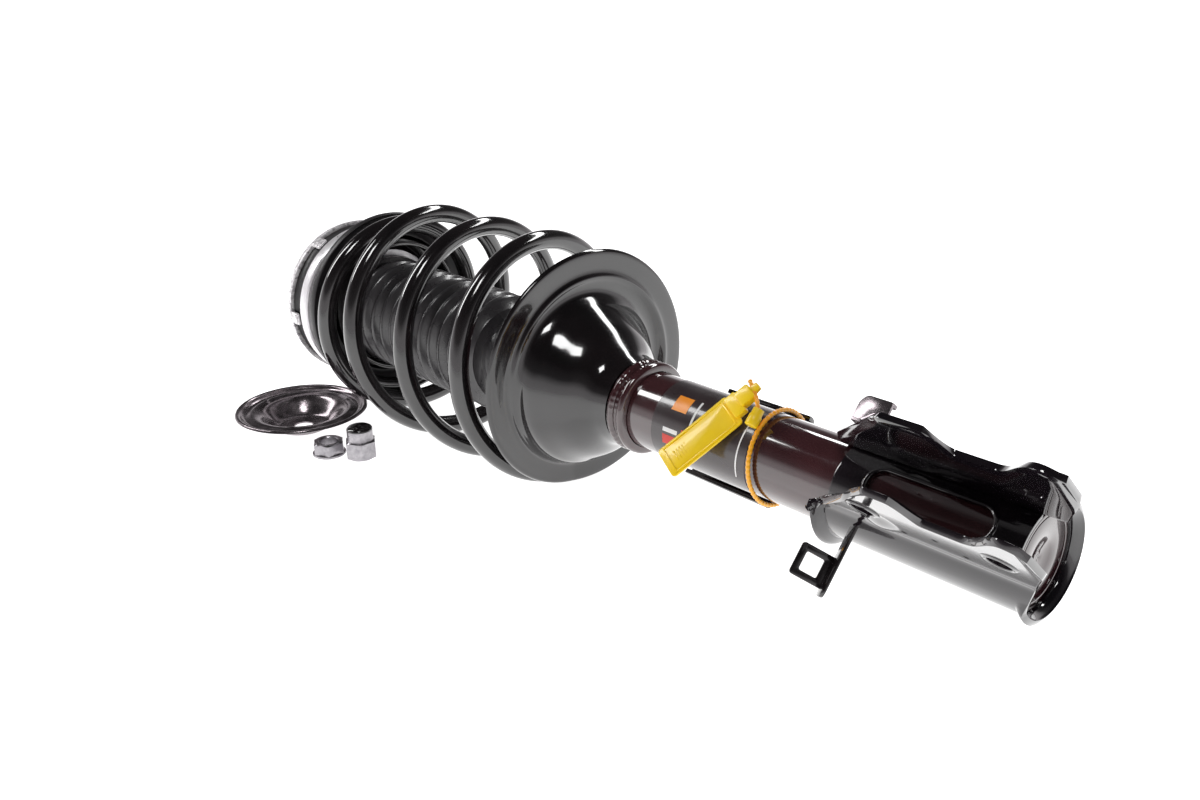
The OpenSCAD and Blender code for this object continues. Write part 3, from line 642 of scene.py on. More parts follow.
LOCATING_R = 1.6
LOCATING_AT = ((28, 30), (33, -16), (43, -37), (33, -50))
cut(bracket, [drill(BOLT_REACH, 0, 0, BOLT_R, 40), drill(BOLT_REACH, 0, -BOLT_PITCH, BOLT_R, 40)]
    + [drill(x, -19, z, LOCATING_R, 5, 20) for x, z in LOCATING_AT])
finish_shading(bracket, 34)

# Pressed rings round the bolt holes
rings = []
for z0 in (0, -BOLT_PITCH):
    for side in (-1, 1):
        face = side * (EAR_MID + SHEET / 2)
        prof = [(BOLT_R + 0.1, -0.4), (BOLT_R + 0.1, 0.25), (BOLT_R + 0.7, 0.7), (BOLT_R + 1.9, 0.75),
                (BOLT_R + 2.9, 0.2), (BOLT_R + 3.1, -0.4)]
        if z0 == 0:
            prof = [(r, h + 0.3) for r, h in prof]
        pts, fcs = lathe_mesh(prof, 64, lambda r, a, h, z0=z0, face=face, side=side: strut(
            BOLT_REACH + r * math.cos(a), face + side * h, z0 + r * math.sin(a)))
        rings.append((pts, fcs))
piece("bolt_hole_rims", *join(rings), BRACKET, "strut_body", "black_paint")

# ---------------------------------------------------------------- plate between the ears
INSERT_R, INSERT_SHEET, INSERT_TOP = 26.7, 2.0, BRACKET_UP - 6
INSERT_HALF = math.asin(15.2 / 26.6)
WINDOW_LEN, WINDOW_W, WINDOW_Z = 72.0, 18.0, -17.0
rows, cols = 130, 34
points = [around(INSERT_R, mix(-INSERT_HALF, INSERT_HALF, k / (cols - 1)),
                 mix(-TUBE_FOOT, INSERT_TOP, i / (rows - 1))) for i in range(rows) for k in range(cols)]
insert = piece("bracket_insert_plate", points, loop_faces(rows, cols, False, False), BRACKET, "strut_body",
               "black_paint", replaces=["bracket_insert"])
thicken(insert, INSERT_SHEET)


def stadium(length, width, count=20):
    r, h = width / 2, (length - width) / 2
    angles = [math.pi * (k / count - 0.5) for k in range(count + 1)]
    top = [(h + r * math.cos(a), r * math.sin(a)) for a in angles]
    return top + [(-u, -v) for u, v in top]


pts, fcs = prism(stadium(WINDOW_LEN, WINDOW_W), lambda u, v, w: strut(w, v, WINDOW_Z + u), 10, 40)
cut(insert, [cutter(pts, fcs)])
soften_edges(insert, 0.4, 55)
finish_shading(insert, 34)

# Rolled bead round the window
BEAD_IN, BEAD_OUT, BEAD_SIDE = 1.6, 0.9, 1.3
bead = [around(27.5, math.asin(v / 27.4), WINDOW_Z + u)
        for u, v in stadium(WINDOW_LEN + BEAD_IN, WINDOW_W + BEAD_IN, 24)]
sides = 12
pts = []
for i, p in enumerate(bead):
    t = (bead[(i + 1) % len(bead)] - bead[i - 1]).normalized()
    out_dir = (p - strut(0, 0, -p.x * 1000)).normalized()
    out_dir = (out_dir - t * out_dir.dot(t)).normalized()
    side_dir = t.cross(out_dir)
    pts += [p + (out_dir * math.cos(TURN * k / sides) * BEAD_OUT
                 + side_dir * math.sin(TURN * k / sides) * BEAD_SIDE) / 1000 for k in range(sides)]
piece("window_bead", pts, loop_faces(len(bead), sides), BRACKET, "strut_body", "black_paint", 60)

# ---------------------------------------------------------------- spring, its sleeve and pads
SLEEVE_TURN = 60


def wire_path(low, high, step=3.0):
    n = int(round((high - low) / step))
    return [strut(*coil_point(mix(low, high, i / n))) for i in range(n + 1)]


wire = wire_path(PHI_LOW, PHI_TOP)
sleeve = wire_path(PHI_LOW, PHI_LOW + SLEEVE_TURN)


def wire_radius(i):
    """The painted wire's radius, rounded off at its two ends."""
    return (WIRE_R - (0.9 if i in (0, len(wire) - 1) else 0.12)) / 1000


def sleeve_radius(i):
    """The ribbed sleeve's radius, smaller at its two ends."""
    return (WIRE_R + SLEEVE_WALL - (0.5 if i in (0, len(sleeve) - 1) else 0) - 0.12 * (i % 4 == 0)) / 1000


coil = piece("coil_spring_wire", *tube_rings(wire, wire_radius, 32), WIRE, "strut_body", "black_paint", 50,
             replaces=["coil_spring"])
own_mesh(coil)
piece("spring_end_sleeve_skin", *tube_rings(sleeve, sleeve_radius, 32), SLEEVE, "strut_body", "rubber", 50,
      replaces=["spring_end_sleeve"])


def pan_ramp(turn):
    """Height of the pan's rim, turn degrees on from the wire's lower end."""
    step = smooth((turn - RAMP_SPAN) / (360 - RAMP_SPAN)) * PITCH * RAMP_SPAN / 360
    return coil_z(PHI_LOW + min(turn, RAMP_SPAN)) - PAN_DROP - step


PAD_TURN, PAD_STEPS = 285, 96
pad_line = [(73.1, 0.1), (81.4, 0.1), (82.2, 4.6), (80.4, 4.7), (78.6, PAD_LOW_H), (73.1, PAD_LOW_H)]
section = rounded(pad_line, 1.0, 3)
pts = []
for i in range(PAD_STEPS + 1):
    turn = PAD_TURN * i / PAD_STEPS
    low = pan_ramp(turn) + PAN_SHEET + PAD_GAP
    pts += [off_low(u, math.radians(PHI_LOW + turn), low + v) for u, v in section]
piece("lower_spring_pad_strip", pts, rod_faces(PAD_STEPS + 1, len(section)), SLEEVE, "strut_body", "rubber",
      replaces=["lower_spring_pad"])

lathe("upper_spring_pad_ring", lifted(PAD_Z, [
    (57.6, 0.1), (59, 0), (62, 1.2), (69, 2.4), (74, 1.2), (75.5, 0), (76, 0.8), (76, 6), (75, 6.9), (58.4, 6.9),
    (57.6, 6)]), RUBBER, "upper_seat", "rubber", ["upper_spring_pad"], bevel=0.4, place=off_top)

# ---------------------------------------------------------------- lower spring seat
def pan_under(turn):
    """The pan's lower side from neck to rim, as (share of the offset, radius, height)."""
    h = pan_ramp(turn)
    rise = h - DOME_Z
    knots = [
        (0, TUBE_R + 3.4, NECK_Z), (0, TUBE_R + 4.6, NECK_Z + 5), (0, TUBE_R + 8, NECK_Z + 13),
        (0, mix(TUBE_R, DOME_R, 0.57), NECK_Z + 24), (0, DOME_R - 6, DOME_Z - 9),
        (0, DOME_R - 1.5, DOME_Z - 2), (0.1, DOME_R + 1, DOME_Z + 3), (0.4, DOME_R + 4, DOME_Z + 7),
        (0.7, DOME_R + 8, DOME_Z + 7.5 + 0.3 * max(0, rise - 7)),
        (0.9, DOME_R + 11, DOME_Z + 0.4 + 0.75 * rise),
        (1, DOME_R + 14.5, h), (1, PAN_R - 4, h + 0.2), (1, PAN_R - 1, h + 1), (1, PAN_R, h + 3)]
    return curve_through(knots, 4)


points, rows = [], 240
for i in range(rows):
    a = TURN * i / rows
    turn = (math.degrees(a) - PHI_LOW) % 360
    under = pan_under(turn)
    n = len(under)
    over = []
    for k in range(n - 1, -1, -1):
        t = under[min(n - 1, k + 1)] - under[max(0, k - 1)]
        s = PAN_SHEET / math.hypot(t.y, t.z)
        over.append(Vector((under[k].x, under[k].y - t.z * s, under[k].z + t.y * s)))
    for p in under + over:
        x, y = LOW_OFF[0] * p.x + p.y * math.cos(a), LOW_OFF[1] * p.x + p.y * math.sin(a)
        points.append(strut(x, y, p.z))
piece("lower_spring_seat_pan", points, loop_faces(rows, 2 * n), BLACK, "strut_body", "black_paint", 50,
      replaces=["lower_spring_seat"])

# ---------------------------------------------------------------- dust bellows
RIBS, BELLOWS_FOOT = 12, TUBE_HEAD - 8
rib_rise = (BELLOWS_TOP - 6 - BELLOWS_LOW) / RIBS
outer = [(CAP_R + 1.6, BELLOWS_FOOT), (CAP_R + 2.2, BELLOWS_FOOT + 1.5), (CAP_R + 2.2, BELLOWS_LOW - 3),
         (CAP_R + 5, BELLOWS_LOW - 1), (BELLOWS_NECK_R - 0.4, BELLOWS_LOW)]
RIB_LINE = ((BELLOWS_NECK_R, 0.06), (BELLOWS_R - 1.4, 0.36), (BELLOWS_R - 0.2, 0.44), (BELLOWS_R, 0.5),
            (BELLOWS_R - 0.2, 0.56), (BELLOWS_R - 1.4, 0.64), (BELLOWS_NECK_R, 0.94))
for i in range(RIBS):
    outer += [(r, BELLOWS_LOW + (i * rib_rise) + share * rib_rise) for r, share in RIB_LINE]
outer += [(BELLOWS_R + 0.6, BELLOWS_TOP - 4), (BELLOWS_R + 1, BELLOWS_TOP - 2), (BELLOWS_R + 1, BELLOWS_TOP)]
boot = lathe("dust_bellows_boot", offset_profile(outer, 1.5), BELLOWS, "strut_body", "bellows_rubber",
             ["dust_bellows"], bevel=0, count=144, angle=44)
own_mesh(boot)


# ---------------------------------------------------------------- upper seat, bearing and mount
lathe("upper_spring_seat_dish", lifted(SEAT_Z, [
    (74, 0.1), (74.5, 0.6), (71, 2.8), (46, 2.8), (44, 1.2), (52.4, 0), (51.2, -19), (54, -19), (55.6, -2),
    (57.5, 0.05)]), BLACK, "upper_seat", "black_paint", ["upper_spring_seat"], bevel=0.5, place=off_top)
lathe("bearing_lower_ring", lifted(RACE_Z, [
    (RACE_R - 0.8, 0), (RACE_R, 0.8), (RACE_R, 7.2), (RACE_R - 0.8, 8), (48, 8), (47, 7.2), (44, 5.7), (41, 7.2),
    (40, 8), (32, 8), (32, 0)]), ZINC, "upper_seat", "zinc", ["bearing_lower_race"], bevel=0.4)
lathe("bearing_upper_ring", lifted(TOP_RACE_Z, [
    (RACE_R + 0.4, -4.4), (RACE_R + 2.0, -4.4), (RACE_R + 2.4, -3.6), (RACE_R + 2.4, 3), (RACE_R + 0.6, 4.5),
    (RACE_R, 11.9), (32, 11.9), (32, 0), (40.6, 0), (41.5, 1.2), (44, 2.35), (46.5, 1.2), (47.4, 0),
    (RACE_R + 0.4, 0)]), BLACK, "top_mount", "black_paint", ["bearing_upper_race"], bevel=0.3)
lathe("mount_plate_ring", lifted(PLATE_Z, [
    (34, 0), (MOUNT_R - 1.2, 0), (MOUNT_R, 1.2), (MOUNT_R, 10.7), (MOUNT_R - 1.2, 11.9), (34, 11.9)]),
      ZINC, "top_mount", "zinc", ["mount_plate"], bevel=0.4)
lathe("mount_rubber_body", lifted(RUBBER_Z, [
    (13.2, -10), (33.8, -10), (33.8, 0), (MOUNT_R - 1, 0), (MOUNT_R - 1.6, 2.4), (MOUNT_R - 3, 6.5),
    (MOUNT_R - 2.2, 11), (MOUNT_R - 2, 12.9), (24, 12.9), (21, 9), (13.2, 9)]),
      RUBBER, "top_mount", "rubber", ["mount_rubber"], bevel=0.5)
lathe("mount_cover_rim", lifted(COVER_Z, [
    (MOUNT_R + 1, 0), (MOUNT_R + 0.8, 3), (MOUNT_R - 1.2, 9), (MOUNT_R - 4, 12), (MOUNT_R - 6.5, 13), (33, 13),
    (30.5, 11.8), (30.2, 4), (31.5, 4), (32.5, 10.6), (MOUNT_R - 9, 10.6), (MOUNT_R - 2.2, 0)]),
      RIM, "top_mount", "pale_plastic", ["mount_cover"], bevel=0.4)

CLIP_COUNT = 6
# Each clip is a leg, a hook and a rib: half width, low, high, corner, corner steps, inner and outer face
CLIP_PARTS = ((5, RUBBER_Z + 2, COVER_Z + 3, 1.2, 3, 0, 1.9),
              (3.4, RUBBER_Z + 3.4, RUBBER_Z + 6.4, 0.6, 2, 1.6, 2.7),
              (1.2, RUBBER_Z + 6, COVER_Z + 1, 0.5, 2, 1.6, 2.3))
clips = []
for i in range(CLIP_COUNT):
    def clip_place(u, v, w, middle=math.radians(360 / CLIP_COUNT * i + 15)):
        return around(MOUNT_R - 0.9 + w, middle + u / MOUNT_R, v)

    for half, low, high, corner, corner_steps, inner, outer_face in CLIP_PARTS:
        line = rounded([(-half, low), (half, low), (half, high), (-half, high)], corner, corner_steps)
        clips.append(prism(line, clip_place, inner, outer_face))
piece("mount_cover_clips", *join(clips), RIM, "top_mount", "pale_plastic", bevel=0.3)


def hexagon(across, chamfer, height, place, bore):
    """Chamfered hexagon nut as points and faces; place maps (x, y, h) to metres."""
    rows = []
    count = 96
    full = across / 2 / math.cos(math.pi / 6)

    def flats(a):
        return across / 2 / math.cos((a + math.pi / 6) % (math.pi / 3) - math.pi / 6)

    for h, cap in ((0, full - chamfer * 2.2), (chamfer, None), (height / 2, None),
                   (height - chamfer, None), (height, full - chamfer * 2.2)):
        row = []
        for k in range(count):
            a = TURN * k / count
            r = flats(a)
            if cap is not None:
                r = min(r, cap)
            elif h in (chamfer, height - chamfer):
                r = min(r, full - 0.15)
            row.append(place(r * math.cos(a), r * math.sin(a), h))
        rows.append(row)
    for h, r in ((height, bore + 0.9), (height - 0.9, bore), (0.9, bore), (0, bore + 0.9)):
        angles = [TURN * k / count for k in range(count)]
        rows.append([place(r * math.cos(a), r * math.sin(a), h) for a in angles])
    return [p for row in rows for p in row], loop_faces(len(rows), count)


pts, fcs = hexagon(24, 0.9, NUT_H, lambda x, y, h: strut(x, y, NUT_Z + h), SHANK_R + 0.05)
piece("rod_nut_hex", pts, fcs, ZINC, "top_mount", "zinc", 30, replaces=["rod_nut"])
lathe("rod_washer_disc", lifted(WASHER_Z, [(8.1, 0), (20.4, 0), (20.4, 2.2), (19.6, 3), (8.1, 3)]),
      ZINC, "top_mount", "zinc", ["rod_washer"], bevel=0.4)


# Piston rod with a rolled thread on its free end
THREAD_PITCH, THREAD_DEPTH, THREAD_STEP = 1.5, 0.35, 0.25
PISTON_Z, SHOULDER_Z = 239.6, 267.6


def thread_place(r, a, z):
    if NUT_TOP + 0.5 < z < STUD_TOP - 1.5 and r > 6:
        r -= THREAD_DEPTH * (0.5 + 0.5 * math.sin(a - TURN * z / THREAD_PITCH))
    return around(r, a, z)


rod = [(0.02, PISTON_Z), (7.2, PISTON_Z), (SHANK_R, PISTON_Z + 1), (SHANK_R, SHOULDER_Z), (ROD_R, SHOULDER_Z),
       (ROD_R, 300), (ROD_R, 400), (ROD_R, PLATE_Z + 1), (SHANK_R, PLATE_Z + 1), (SHANK_R, NUT_TOP)]
rod += [(STUD_R, NUT_TOP + 0.1 + THREAD_STEP * k)
        for k in range(int((STUD_FREE - 1.6) / THREAD_STEP))]
rod += [(STUD_R - 0.2, STUD_TOP - 1.4), (STUD_R - 1.3, STUD_TOP), (0.02, STUD_TOP)]
lathe("piston_rod_shaft", rod, CHROME, "top_mount", "hard_chrome", ["piston_rod"], bevel=0, count=72,
      place=thread_place, angle=50)

# ---------------------------------------------------------------- label film and its print
LABEL_Z, LABEL_LEN, LABEL_HALF = 98.0, 76.0, 120
FILM_IN, FILM_OUT = TUBE_R + 0.06, TUBE_R + 0.34
PRINT_IN, PRINT_OUT = TUBE_R + 0.42, TUBE_R + 0.47


def patch(z_low, z_high, a_low, a_high, n=24):
    """A thin printed patch on the tube, angles in degrees in the strut's own frame."""
    pts = []
    for r in (PRINT_IN, PRINT_OUT):
        for z in (z_low, z_high):
            pts += [around(r, math.radians(mix(a_low, a_high, k / n)), z) for k in range(n + 1)]
    m = n + 1
    fcs = [[k, k + 1, m + k + 1, m + k] for k in range(n)]
    fcs += [[2 * m + k, 3 * m + k, 3 * m + k + 1, 2 * m + k + 1] for k in range(n)]
    fcs += [[k, 2 * m + k, 2 * m + k + 1, k + 1] for k in range(n)]
    fcs += [[m + k, m + k + 1, 3 * m + k + 1, 3 * m + k] for k in range(n)]
    fcs += [[0, m, 3 * m, 2 * m], [n, 2 * m + n, 3 * m + n, m + n]]
    return pts, fcs


film = [(FILM_IN, LABEL_Z), (FILM_OUT, LABEL_Z), (FILM_OUT, LABEL_Z + 20), (FILM_OUT, LABEL_Z + 50),
        (FILM_OUT, LABEL_Z + LABEL_LEN), (FILM_IN, LABEL_Z + LABEL_LEN)]
n = 120
pts = [around(r, math.radians(mix(-LABEL_HALF, LABEL_HALF, i / n)), z) for i in range(n + 1) for r, z in film]
piece("label_sleeve_film", pts, rod_faces(n + 1, len(film)), FILM, "strut_body", "label_film",
      replaces=["label_sleeve"])

# Plain marks in the print's colours: (low, high) along the strut, (from, to) round it in degrees
PRINTS = (("label_print_orange", PRINT_ORANGE, [(150, 162, -2, 22)]),
          ("label_print_red", PRINT_RED, [(152, 164, -52, -38), (146, 149, -52, -24)]),
          ("label_print_white", PRINT_WHITE, [(152, 164, -34, -28), (142.6, 144.2, -52, 22),
                                              (104, 105, -60, 30)]))
for name, ink, marks in PRINTS:
    piece(name, *join([patch(*mark) for mark in marks]), ink, "strut_body", "label_film")

RING_Z, RING_AT, RING_IN, RING_OUT = 127, 0.05, 10.2, 11.0
n = 64
ring_pts = []
for h, radii in ((PRINT_IN, (RING_IN, RING_OUT)), (PRINT_OUT, (RING_OUT, RING_IN))):
    for r in radii:
        for k in range(n):
            t = TURN * k / n
            ring_pts.append(around(h, r * math.sin(t) / TUBE_R - RING_AT, RING_Z + r * math.cos(t)))
piece("label_print_ring", ring_pts, loop_faces(4, n), PRINT_WHITE, "strut_body", "label_film")

# ---------------------------------------------------------------- seal tag and strap
TAG_X, TAG_Y, TAG_Z, TAG_LEAN = TUBE_R + 2.2, 12, 117, math.radians(-28)
FLAG_LEN, FLAG_W, FLAG_THICK = 53, 23, 1.5


def tag_place(u, v, w):
    """u runs along the flag from its head, v across it, w off the tube."""
    bend = 1.6 * (u / 54) ** 2
    return strut(TAG_X + w + bend, TAG_Y - u * math.cos(TAG_LEAN) - v * math.sin(TAG_LEAN),
                 TAG_Z - u * math.sin(TAG_LEAN) + v * math.cos(TAG_LEAN))


def grid_prism(length, width, thick, place):
    """A bendable plate with rounded corners, its outline cut into 2 mm steps."""
    line = rounded([(0, -width / 2), (length, -width / 2), (length, width / 2), (0, width / 2)], 3.0, 6)
    fine = []
    for i, p in enumerate(line):
        q = line[(i + 1) % len(line)]
        parts = max(1, int(math.hypot(q[0] - p[0], q[1] - p[1]) / 2))
        fine += [(mix(p[0], q[0], k / parts), mix(p[1], q[1], k / parts)) for k in range(parts)]
    return prism(fine, place, 0, thick)


def box(u0, u1, v0, v1):
    return [(u0, v0), (u1, v0), (u1, v1), (u0, v1)]


piece("seal_tag_flag", *grid_prism(FLAG_LEN, FLAG_W, FLAG_THICK, tag_place), YELLOW, "strut_body",
      "tag_plastic", bevel=0.35, replaces=["seal_tag"])
# A raised frame and a row of plain bars
RIB_FOOT = FLAG_THICK - 0.1
raised = [prism(box(*edge), tag_place, RIB_FOOT, 1.9)
          for edge in ((4, 49, -10.2, -9.2), (4, 49, 9.2, 10.2), (3.5, 4.5, -10.2, 10.2),
                       (48.5, 49.5, -10.2, 10.2))]
raised += [prism(rounded(box(44 - 2.1 * k, 45 - 2.1 * k, -4, 4), 0.3, 2), tag_place, RIB_FOOT, 1.8)
           for k in range(7)]
piece("seal_tag_ribs", *join(raised), YELLOW, "strut_body", "tag_plastic", bevel=0.12)


def head_place(u, v, w):
    return tag_place(-u, v, w)


blocks = [prism(rounded(box(-2, 6, -8, 8), 1.5, 4), head_place, 0, 4.2),
          prism(rounded(box(5, 15, -5.5, 5.5), 2.0, 4), head_place, 0.3, 5.4),
          prism(rounded([(14, -3), (20, -2.2), (20, 2.2), (14, 3)], 1.0, 4), head_place, 1.0, 4.2)]
piece("seal_tag_head", *join(blocks), YELLOW, "strut_body", "tag_plastic", bevel=0.4)
barrel = lathe_mesh([(1.0, 0), (3.6, 0), (3.9, 0.5), (3.9, 6.5), (3.4, 7.2), (3.4, 11), (1.0, 11)], 40,
                    lambda r, a, h: strut(TAG_X + 3.6 + r * math.cos(a), 13 + h - 8, 99 + r * math.sin(a)))
piece("seal_tag_barrel", *barrel, YELLOW, "strut_body", "tag_plastic", bevel=0.3)

# The strap: a toothed plastic loop round the tube, with its tail standing off
STRAP_Z, STRAP_R = 93.0, TUBE_R + 3.0


def strap_radius(i):
    """The strap's radius, toothed along its length."""
    return (1.3 + 0.14 * (1 if i % 4 < 2 else -1)) / 1000


loop = [around(STRAP_R, a, STRAP_Z + 3 * math.sin(a + 0.6)) for a in [TURN * i / 240 for i in range(241)]]
tail = curve_through([strut(29.5, 8, 97), strut(31, 16, 100), strut(31, 24, 107), strut(29.5, 31, 116)], 14)
piece("seal_strap_loop", *join([tube_rings(loop, strap_radius, 14), tube_rings(tail, strap_radius, 12)]),
      ORANGE, "strut_body", "strap_plastic", 60, replaces=["seal_strap"])


# ---------------------------------------------------------------- small brackets
def bent_strip(line, low, high, thick, place):
    """A strip of sheet along a 2-D line (u, v), centred on it, from low to high across its width."""
    n = len(line)
    left, right = [], []
    for i in range(n):
        t = (Vector(line[min(n - 1, i + 1)]) - Vector(line[max(0, i - 1)])).normalized()
        left.append((line[i][0] - t.y * thick / 2, line[i][1] + t.x * thick / 2))
        right.append((line[i][0] + t.y * thick / 2, line[i][1] - t.x * thick / 2))
    return prism(left + right[::-1], place, low, high)


# Stabiliser link plate: curled at both edges, with a drilled tab behind
LINK_Z, LINK_MID, LINK_LEN, LINK_SHEET = 133.0, 4.0, 66.0, 3.0
LINK_BACK, TAB_HALF, LINK_HOLE_X = -TUBE_R - 1.6, 17, -43.55
curl = [(LINK_BACK + 7.0, 29.4), (LINK_BACK + 4.5, 29.8), (LINK_BACK + 1.2, 28.6), (LINK_BACK, 25),
        (LINK_BACK, 12)]
plate_line = [(x, LINK_MID - y) for x, y in curl] + [(x, LINK_MID + y) for x, y in curl[::-1]]
plate_line = [(p.x, p.y) for p in curve_through(plate_line, 5)]
piece("stabilizer_link_plate",
      *bent_strip(plate_line, LINK_Z - LINK_LEN / 2, LINK_Z + LINK_LEN / 2, LINK_SHEET, strut),
      BLACK, "strut_body", "black_paint", bevel=0.5, replaces=["stabilizer_link_bracket"])
tab = rounded([(LINK_BACK + 1, LINK_Z - TAB_HALF), (LINK_BACK + 1, LINK_Z + TAB_HALF),
               (LINK_BACK - 30.2, LINK_Z + TAB_HALF), (LINK_BACK - 30.2, LINK_Z - TAB_HALF)], [1, 1, 9, 9], 8)
link_tab = piece("stabilizer_link_tab", *prism(tab, lambda u, v, w: strut(u, w, v), 4.0, 8.0), BLACK,
                 "strut_body", "black_paint")
cut(link_tab, [drill(LINK_HOLE_X, 6, LINK_Z, 5.25, 6, 48)])
soften_edges(link_tab, 0.5, 50)
finish_shading(link_tab)

# Hose bracket: an arm on the shell's near side, turned half a right angle, and a plate with a square hole
HOSE_X, HOSE_Z, HOSE_END, HOSE_SIDE = 18.0, 21.0, 61.5, 18.5
HALF_TURN, HOSE_HOLE = math.sqrt(0.5), 10.5


def hose_place(u, v, w):
    """u runs across the plate, v along the strut's Y, w out of the plate's face."""
    return strut(HOSE_X + (u - w) * HALF_TURN, v, HOSE_Z + (u + w) * HALF_TURN)


outline = rounded([(-2, -HOSE_END), (HOSE_SIDE, -HOSE_END), (HOSE_SIDE, HOSE_SIDE - HOSE_END),
                   (-2, HOSE_SIDE - HOSE_END)], [0.4, 2, 2, 0.4], 5)
hose = piece("brake_hose_plate", *prism(outline, hose_place, -2, 0), BLACK, "strut_body", "black_paint",
             replaces=["brake_hose_bracket"])
mid_u, mid_v, half = HOSE_SIDE / 2, HOSE_SIDE / 2 - HOSE_END, HOSE_HOLE / 2
hole = rounded(box(-half, half, -half, half), 1.2, 4)
cut(hose, [cutter(*prism(hole, lambda u, v, w: hose_place(mid_u + u, mid_v + v, w), -6, 4))])
soften_edges(hose, 0.5, 50)
finish_shading(hose)
arm = rounded([(-HOSE_END - 4, 0), (-HOSE_END - 4, -9), (-23.8, -9), (-24.3, 0)], [3, 4, 0.4, 0.4], 5)
piece("brake_hose_arm", *prism(arm, lambda u, v, w: hose_place(w, u, v), -2, 0), BLACK, "strut_body",
      "black_paint", bevel=0.4)

# Lead bracket on the far ear: a foot on the ear, a plate that stands out from it and a folded corner
EAR_OUT, LEAD_X = EAR_MID + SHEET / 2, BOLT_REACH + 10
LEAD_GAP, LEAD_SHEET = 0.05, 2
foot = rounded(box(LEAD_X - 15, LEAD_X + 2, 11, 22), [2, 0.4, 0.4, 2], 4)
outline = rounded([(0, 4), (15, 4), (15, 19), (11, 22), (0, 22)], [0.4, 1.5, 2, 3, 0.4], 4)
fold = rounded(box(LEAD_X - 4, LEAD_X + 1, 4, 11), [1.5, 0.3, 0.3, 1.5], 4)
parts = [prism(foot, lambda u, v, w: strut(u, EAR_OUT + LEAD_GAP + w, v), 0, LEAD_SHEET),
         prism(outline, lambda u, v, w: strut(LEAD_X + w, EAR_OUT + LEAD_GAP + u, v), 0, LEAD_SHEET),
         prism(fold, lambda u, v, w: strut(u, EAR_OUT + LEAD_GAP + 13 + w, v), 0, LEAD_SHEET)]
piece("lead_bracket_plate", *join(parts), CUP_STEEL, "strut_body", "black_paint", bevel=0.4,
      replaces=["lead_bracket"])


# ---------------------------------------------------------------- loose cup and nuts
def on_floor(along, aside):
    """Places for a piece that lies along and aside of the strut's axis: level (x, y, h), and turned (r, a, h)."""
    def place(x, y, h):
        return Vector((-along + x, AXIS_Y * 1000 - aside + y, FLOOR * 1000 + h)) / 1000

    return place, lambda r, a, h: place(r * math.cos(a), r * math.sin(a), h)


CUP_LINE = [(7.5, 1.1), (14, 1.0), (19.5, 1.2), (23.2, 3.4), (28.2, 8.8), (32.8, 13.2), (36.5, 15.2), (40, 15.9),
            (43, 14.9), (45.6, 14.2), (48.2, 15.5), (50.2, 17.3), (51.6, 17.7), (52.3, 16.6)]
CUP_SHEET, DIMPLE_R, DIMPLE_W = 1.1, 38.5, 3.2
cup_round = on_floor(516, 90.5)[1]


def cup_place(r, a, h):
    """The cup's turned shape with three small dimples in its rim."""
    dimple = 0
    for k in range(3):
        d = (a - math.radians(120 * k + 200) + math.pi) % TURN - math.pi
        dimple += 1.0 * bump_at(math.hypot(d * 38 / DIMPLE_W, (r - DIMPLE_R) / DIMPLE_W))
    return cup_round(r, a, max(0.02, h - 0.35 + dimple))


cup_profile = offset_profile([(p.x, p.y) for p in curve_through(CUP_LINE, 5)], CUP_SHEET)
lathe("retainer_cup_dish", cup_profile, CUP_STEEL, "loose_cup", "cup_steel", ["retainer_cup"], bevel=0,
      count=240, place=cup_place, angle=50)

NUT_AF, NUT_BORE_R = 22, 7.2
nut_at, nut_round = on_floor(432, 86)
neck = lathe_mesh([(NUT_BORE_R, 14.5), (10.4, 14.5), (9.9, 15.6), (9.9, 21.5), (10, 22.9), (NUT_BORE_R, 22.9)],
                  72, nut_round)
piece("tower_nut_body", *join([hexagon(NUT_AF, 1.1, 15, nut_at, NUT_BORE_R), neck]), NUT_STEEL,
      "loose_tower_nut", "nut_steel", 30, replaces=["tower_nut"])
cap_line = [(0.02, 23.1), (9.9, 23.1), (10, 23.6), (9.8, 24.1)]
cap_line += [(9.6 * math.cos(math.radians(t)), 24.1 + 2.5 * math.sin(math.radians(t))) for t in range(12, 85, 12)]
cap_line += [(0.02, 26.6)]
lathe("nut_cap_dome", cap_line, BLACK, "loose_tower_nut", "black_paint", ["nut_cap"], bevel=0, count=72,
      place=nut_round)

spare_at, spare_round = on_floor(454.5, 101.5)
flange = lathe_mesh([(8.2, 0), (12.4, 0), (13, 0.6), (12.8, 1.8), (11, 2.5), (8.2, 2.5)], 72, spare_round)
piece("spare_nut_body", *join([hexagon(NUT_AF, 0.9, 11, spare_at, NUT_BORE_R), flange]), NUT_STEEL,
      "loose_spare_nut", "zinc", 30, replaces=["spare_nut"])

# ---------------------------------------------------------------- carried-over CAD nodes
CARRIED = {
    "pressure_tube": ZINC, "foot_valve": STEEL, "rod_guide": ZINC, "rod_seal": RUBBER, "bearing_cage": RIM,
    "bearing_balls": STEEL, "mount_core": ZINC, "bump_stop": FOAM, "piston": STEEL, "piston_band": FILM,
    "piston_nut": ZINC, "rebound_stop": RUBBER}
for name, mat in CARRIED.items():
    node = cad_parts[name]
    for slot in node.material_slots:
        slot.material = mat

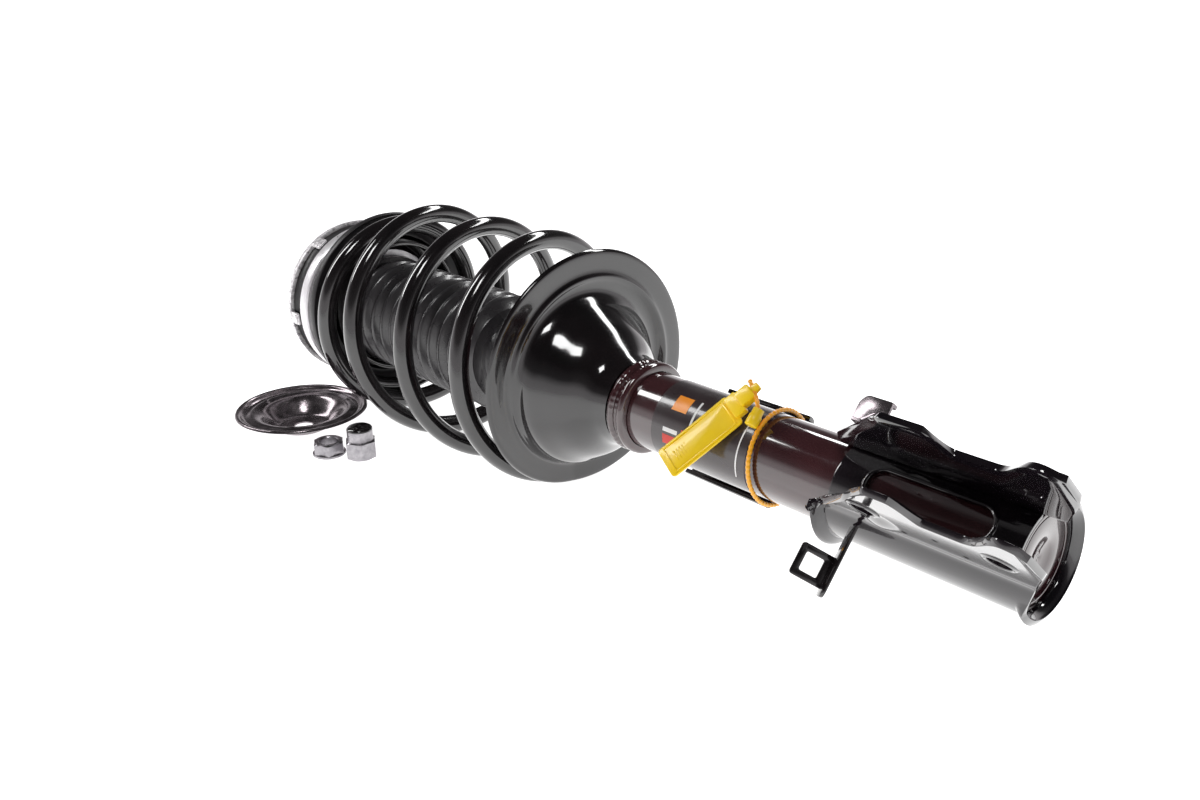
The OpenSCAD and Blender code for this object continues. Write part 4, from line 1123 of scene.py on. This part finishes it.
# ---------------------------------------------------------------- floor, light and camera
SPAN = 30
mesh = bpy.data.meshes.new("floor")
mesh.from_pydata([(x, y, FLOOR) for x, y in box(-SPAN, SPAN, -SPAN, SPAN)], [], [(0, 1, 2, 3)])
floor = bpy.data.objects.new("studio_floor", mesh)
bpy.context.scene.collection.objects.link(floor)
n = Nodes("floor_white")
n.set(Base_Color=(0.9, 0.9, 0.9, 1), Roughness=0.6)
n.bsdf.inputs["Emission Color"].default_value = (1, 1, 1, 1)
n.bsdf.inputs["Emission Strength"].default_value = 1.0
mesh.materials.append(n.mat)

# A white room that darkens overhead, for dark reflections with pale edges
SKY = [(0.0, 1.0), (0.16, 0.85), (0.34, 0.12), (0.6, 0.02), (1.0, 0.02)]
world = bpy.data.worlds.new("studio")
bpy.context.scene.world = world
world.use_nodes = True
tree = world.node_tree
background = tree.nodes["Background"]
coord = tree.nodes.new("ShaderNodeTexCoord")
split = tree.nodes.new("ShaderNodeSeparateXYZ")
ramp = tree.nodes.new("ShaderNodeValToRGB")
tree.links.new(coord.outputs["Generated"], split.inputs["Vector"])
tree.links.new(split.outputs["Z"], ramp.inputs["Fac"])
tree.links.new(ramp.outputs["Color"], background.inputs["Color"])
elements = ramp.color_ramp.elements
while len(elements) < len(SKY):
    elements.new(0.5)
for e, (pos, v) in zip(elements, SKY):
    e.position = pos
    e.color = (v, v * 0.965, v * 0.985, 1)
background.inputs["Strength"].default_value = 1.0


def area_light(name, at, target, size, power):
    data = bpy.data.lights.new(name, "AREA")
    data.shape = "RECTANGLE"
    data.size, data.size_y = size
    data.energy = power
    obj = bpy.data.objects.new(name, data)
    obj.location = at
    obj.rotation_euler = (Vector(target) - Vector(at)).to_track_quat("-Z", "Y").to_euler()
    bpy.context.scene.collection.objects.link(obj)


area_light("strip_back", (-0.3, 1.5, 1.5), (-0.2, 0.05, 0), (2.2, 0.25), 22)
area_light("strip_left", (-1.6, -0.7, 1.1), (-0.3, 0.05, 0), (0.3, 1.2), 12)
area_light("soft_top", (0.4, -0.7, 1.9), (-0.2, 0.03, 0), (0.5, 0.5), 10)

CAMERA_AT, CAMERA_LOOK, CAMERA_TOP = (0.2728, -0.4342, 0.2379), (-0.688, 0.6236, -0.3695), (0.014, 0, 1)
scene = bpy.context.scene
scene.view_settings.view_transform = "Standard"
cam_data = bpy.data.cameras.new("camera")
cam_data.lens = 33.0
cam_data.sensor_width = 36.0
cam_data.clip_start = 0.01
camera = bpy.data.objects.new("camera", cam_data)
look = Vector(CAMERA_LOOK).normalized()
side = look.cross(Vector(CAMERA_TOP)).normalized()
rot = Matrix((side, side.cross(look), -look)).transposed().to_4x4()
camera.matrix_world = Matrix.Translation(CAMERA_AT) @ rot
scene.collection.objects.link(camera)
scene.camera = camera
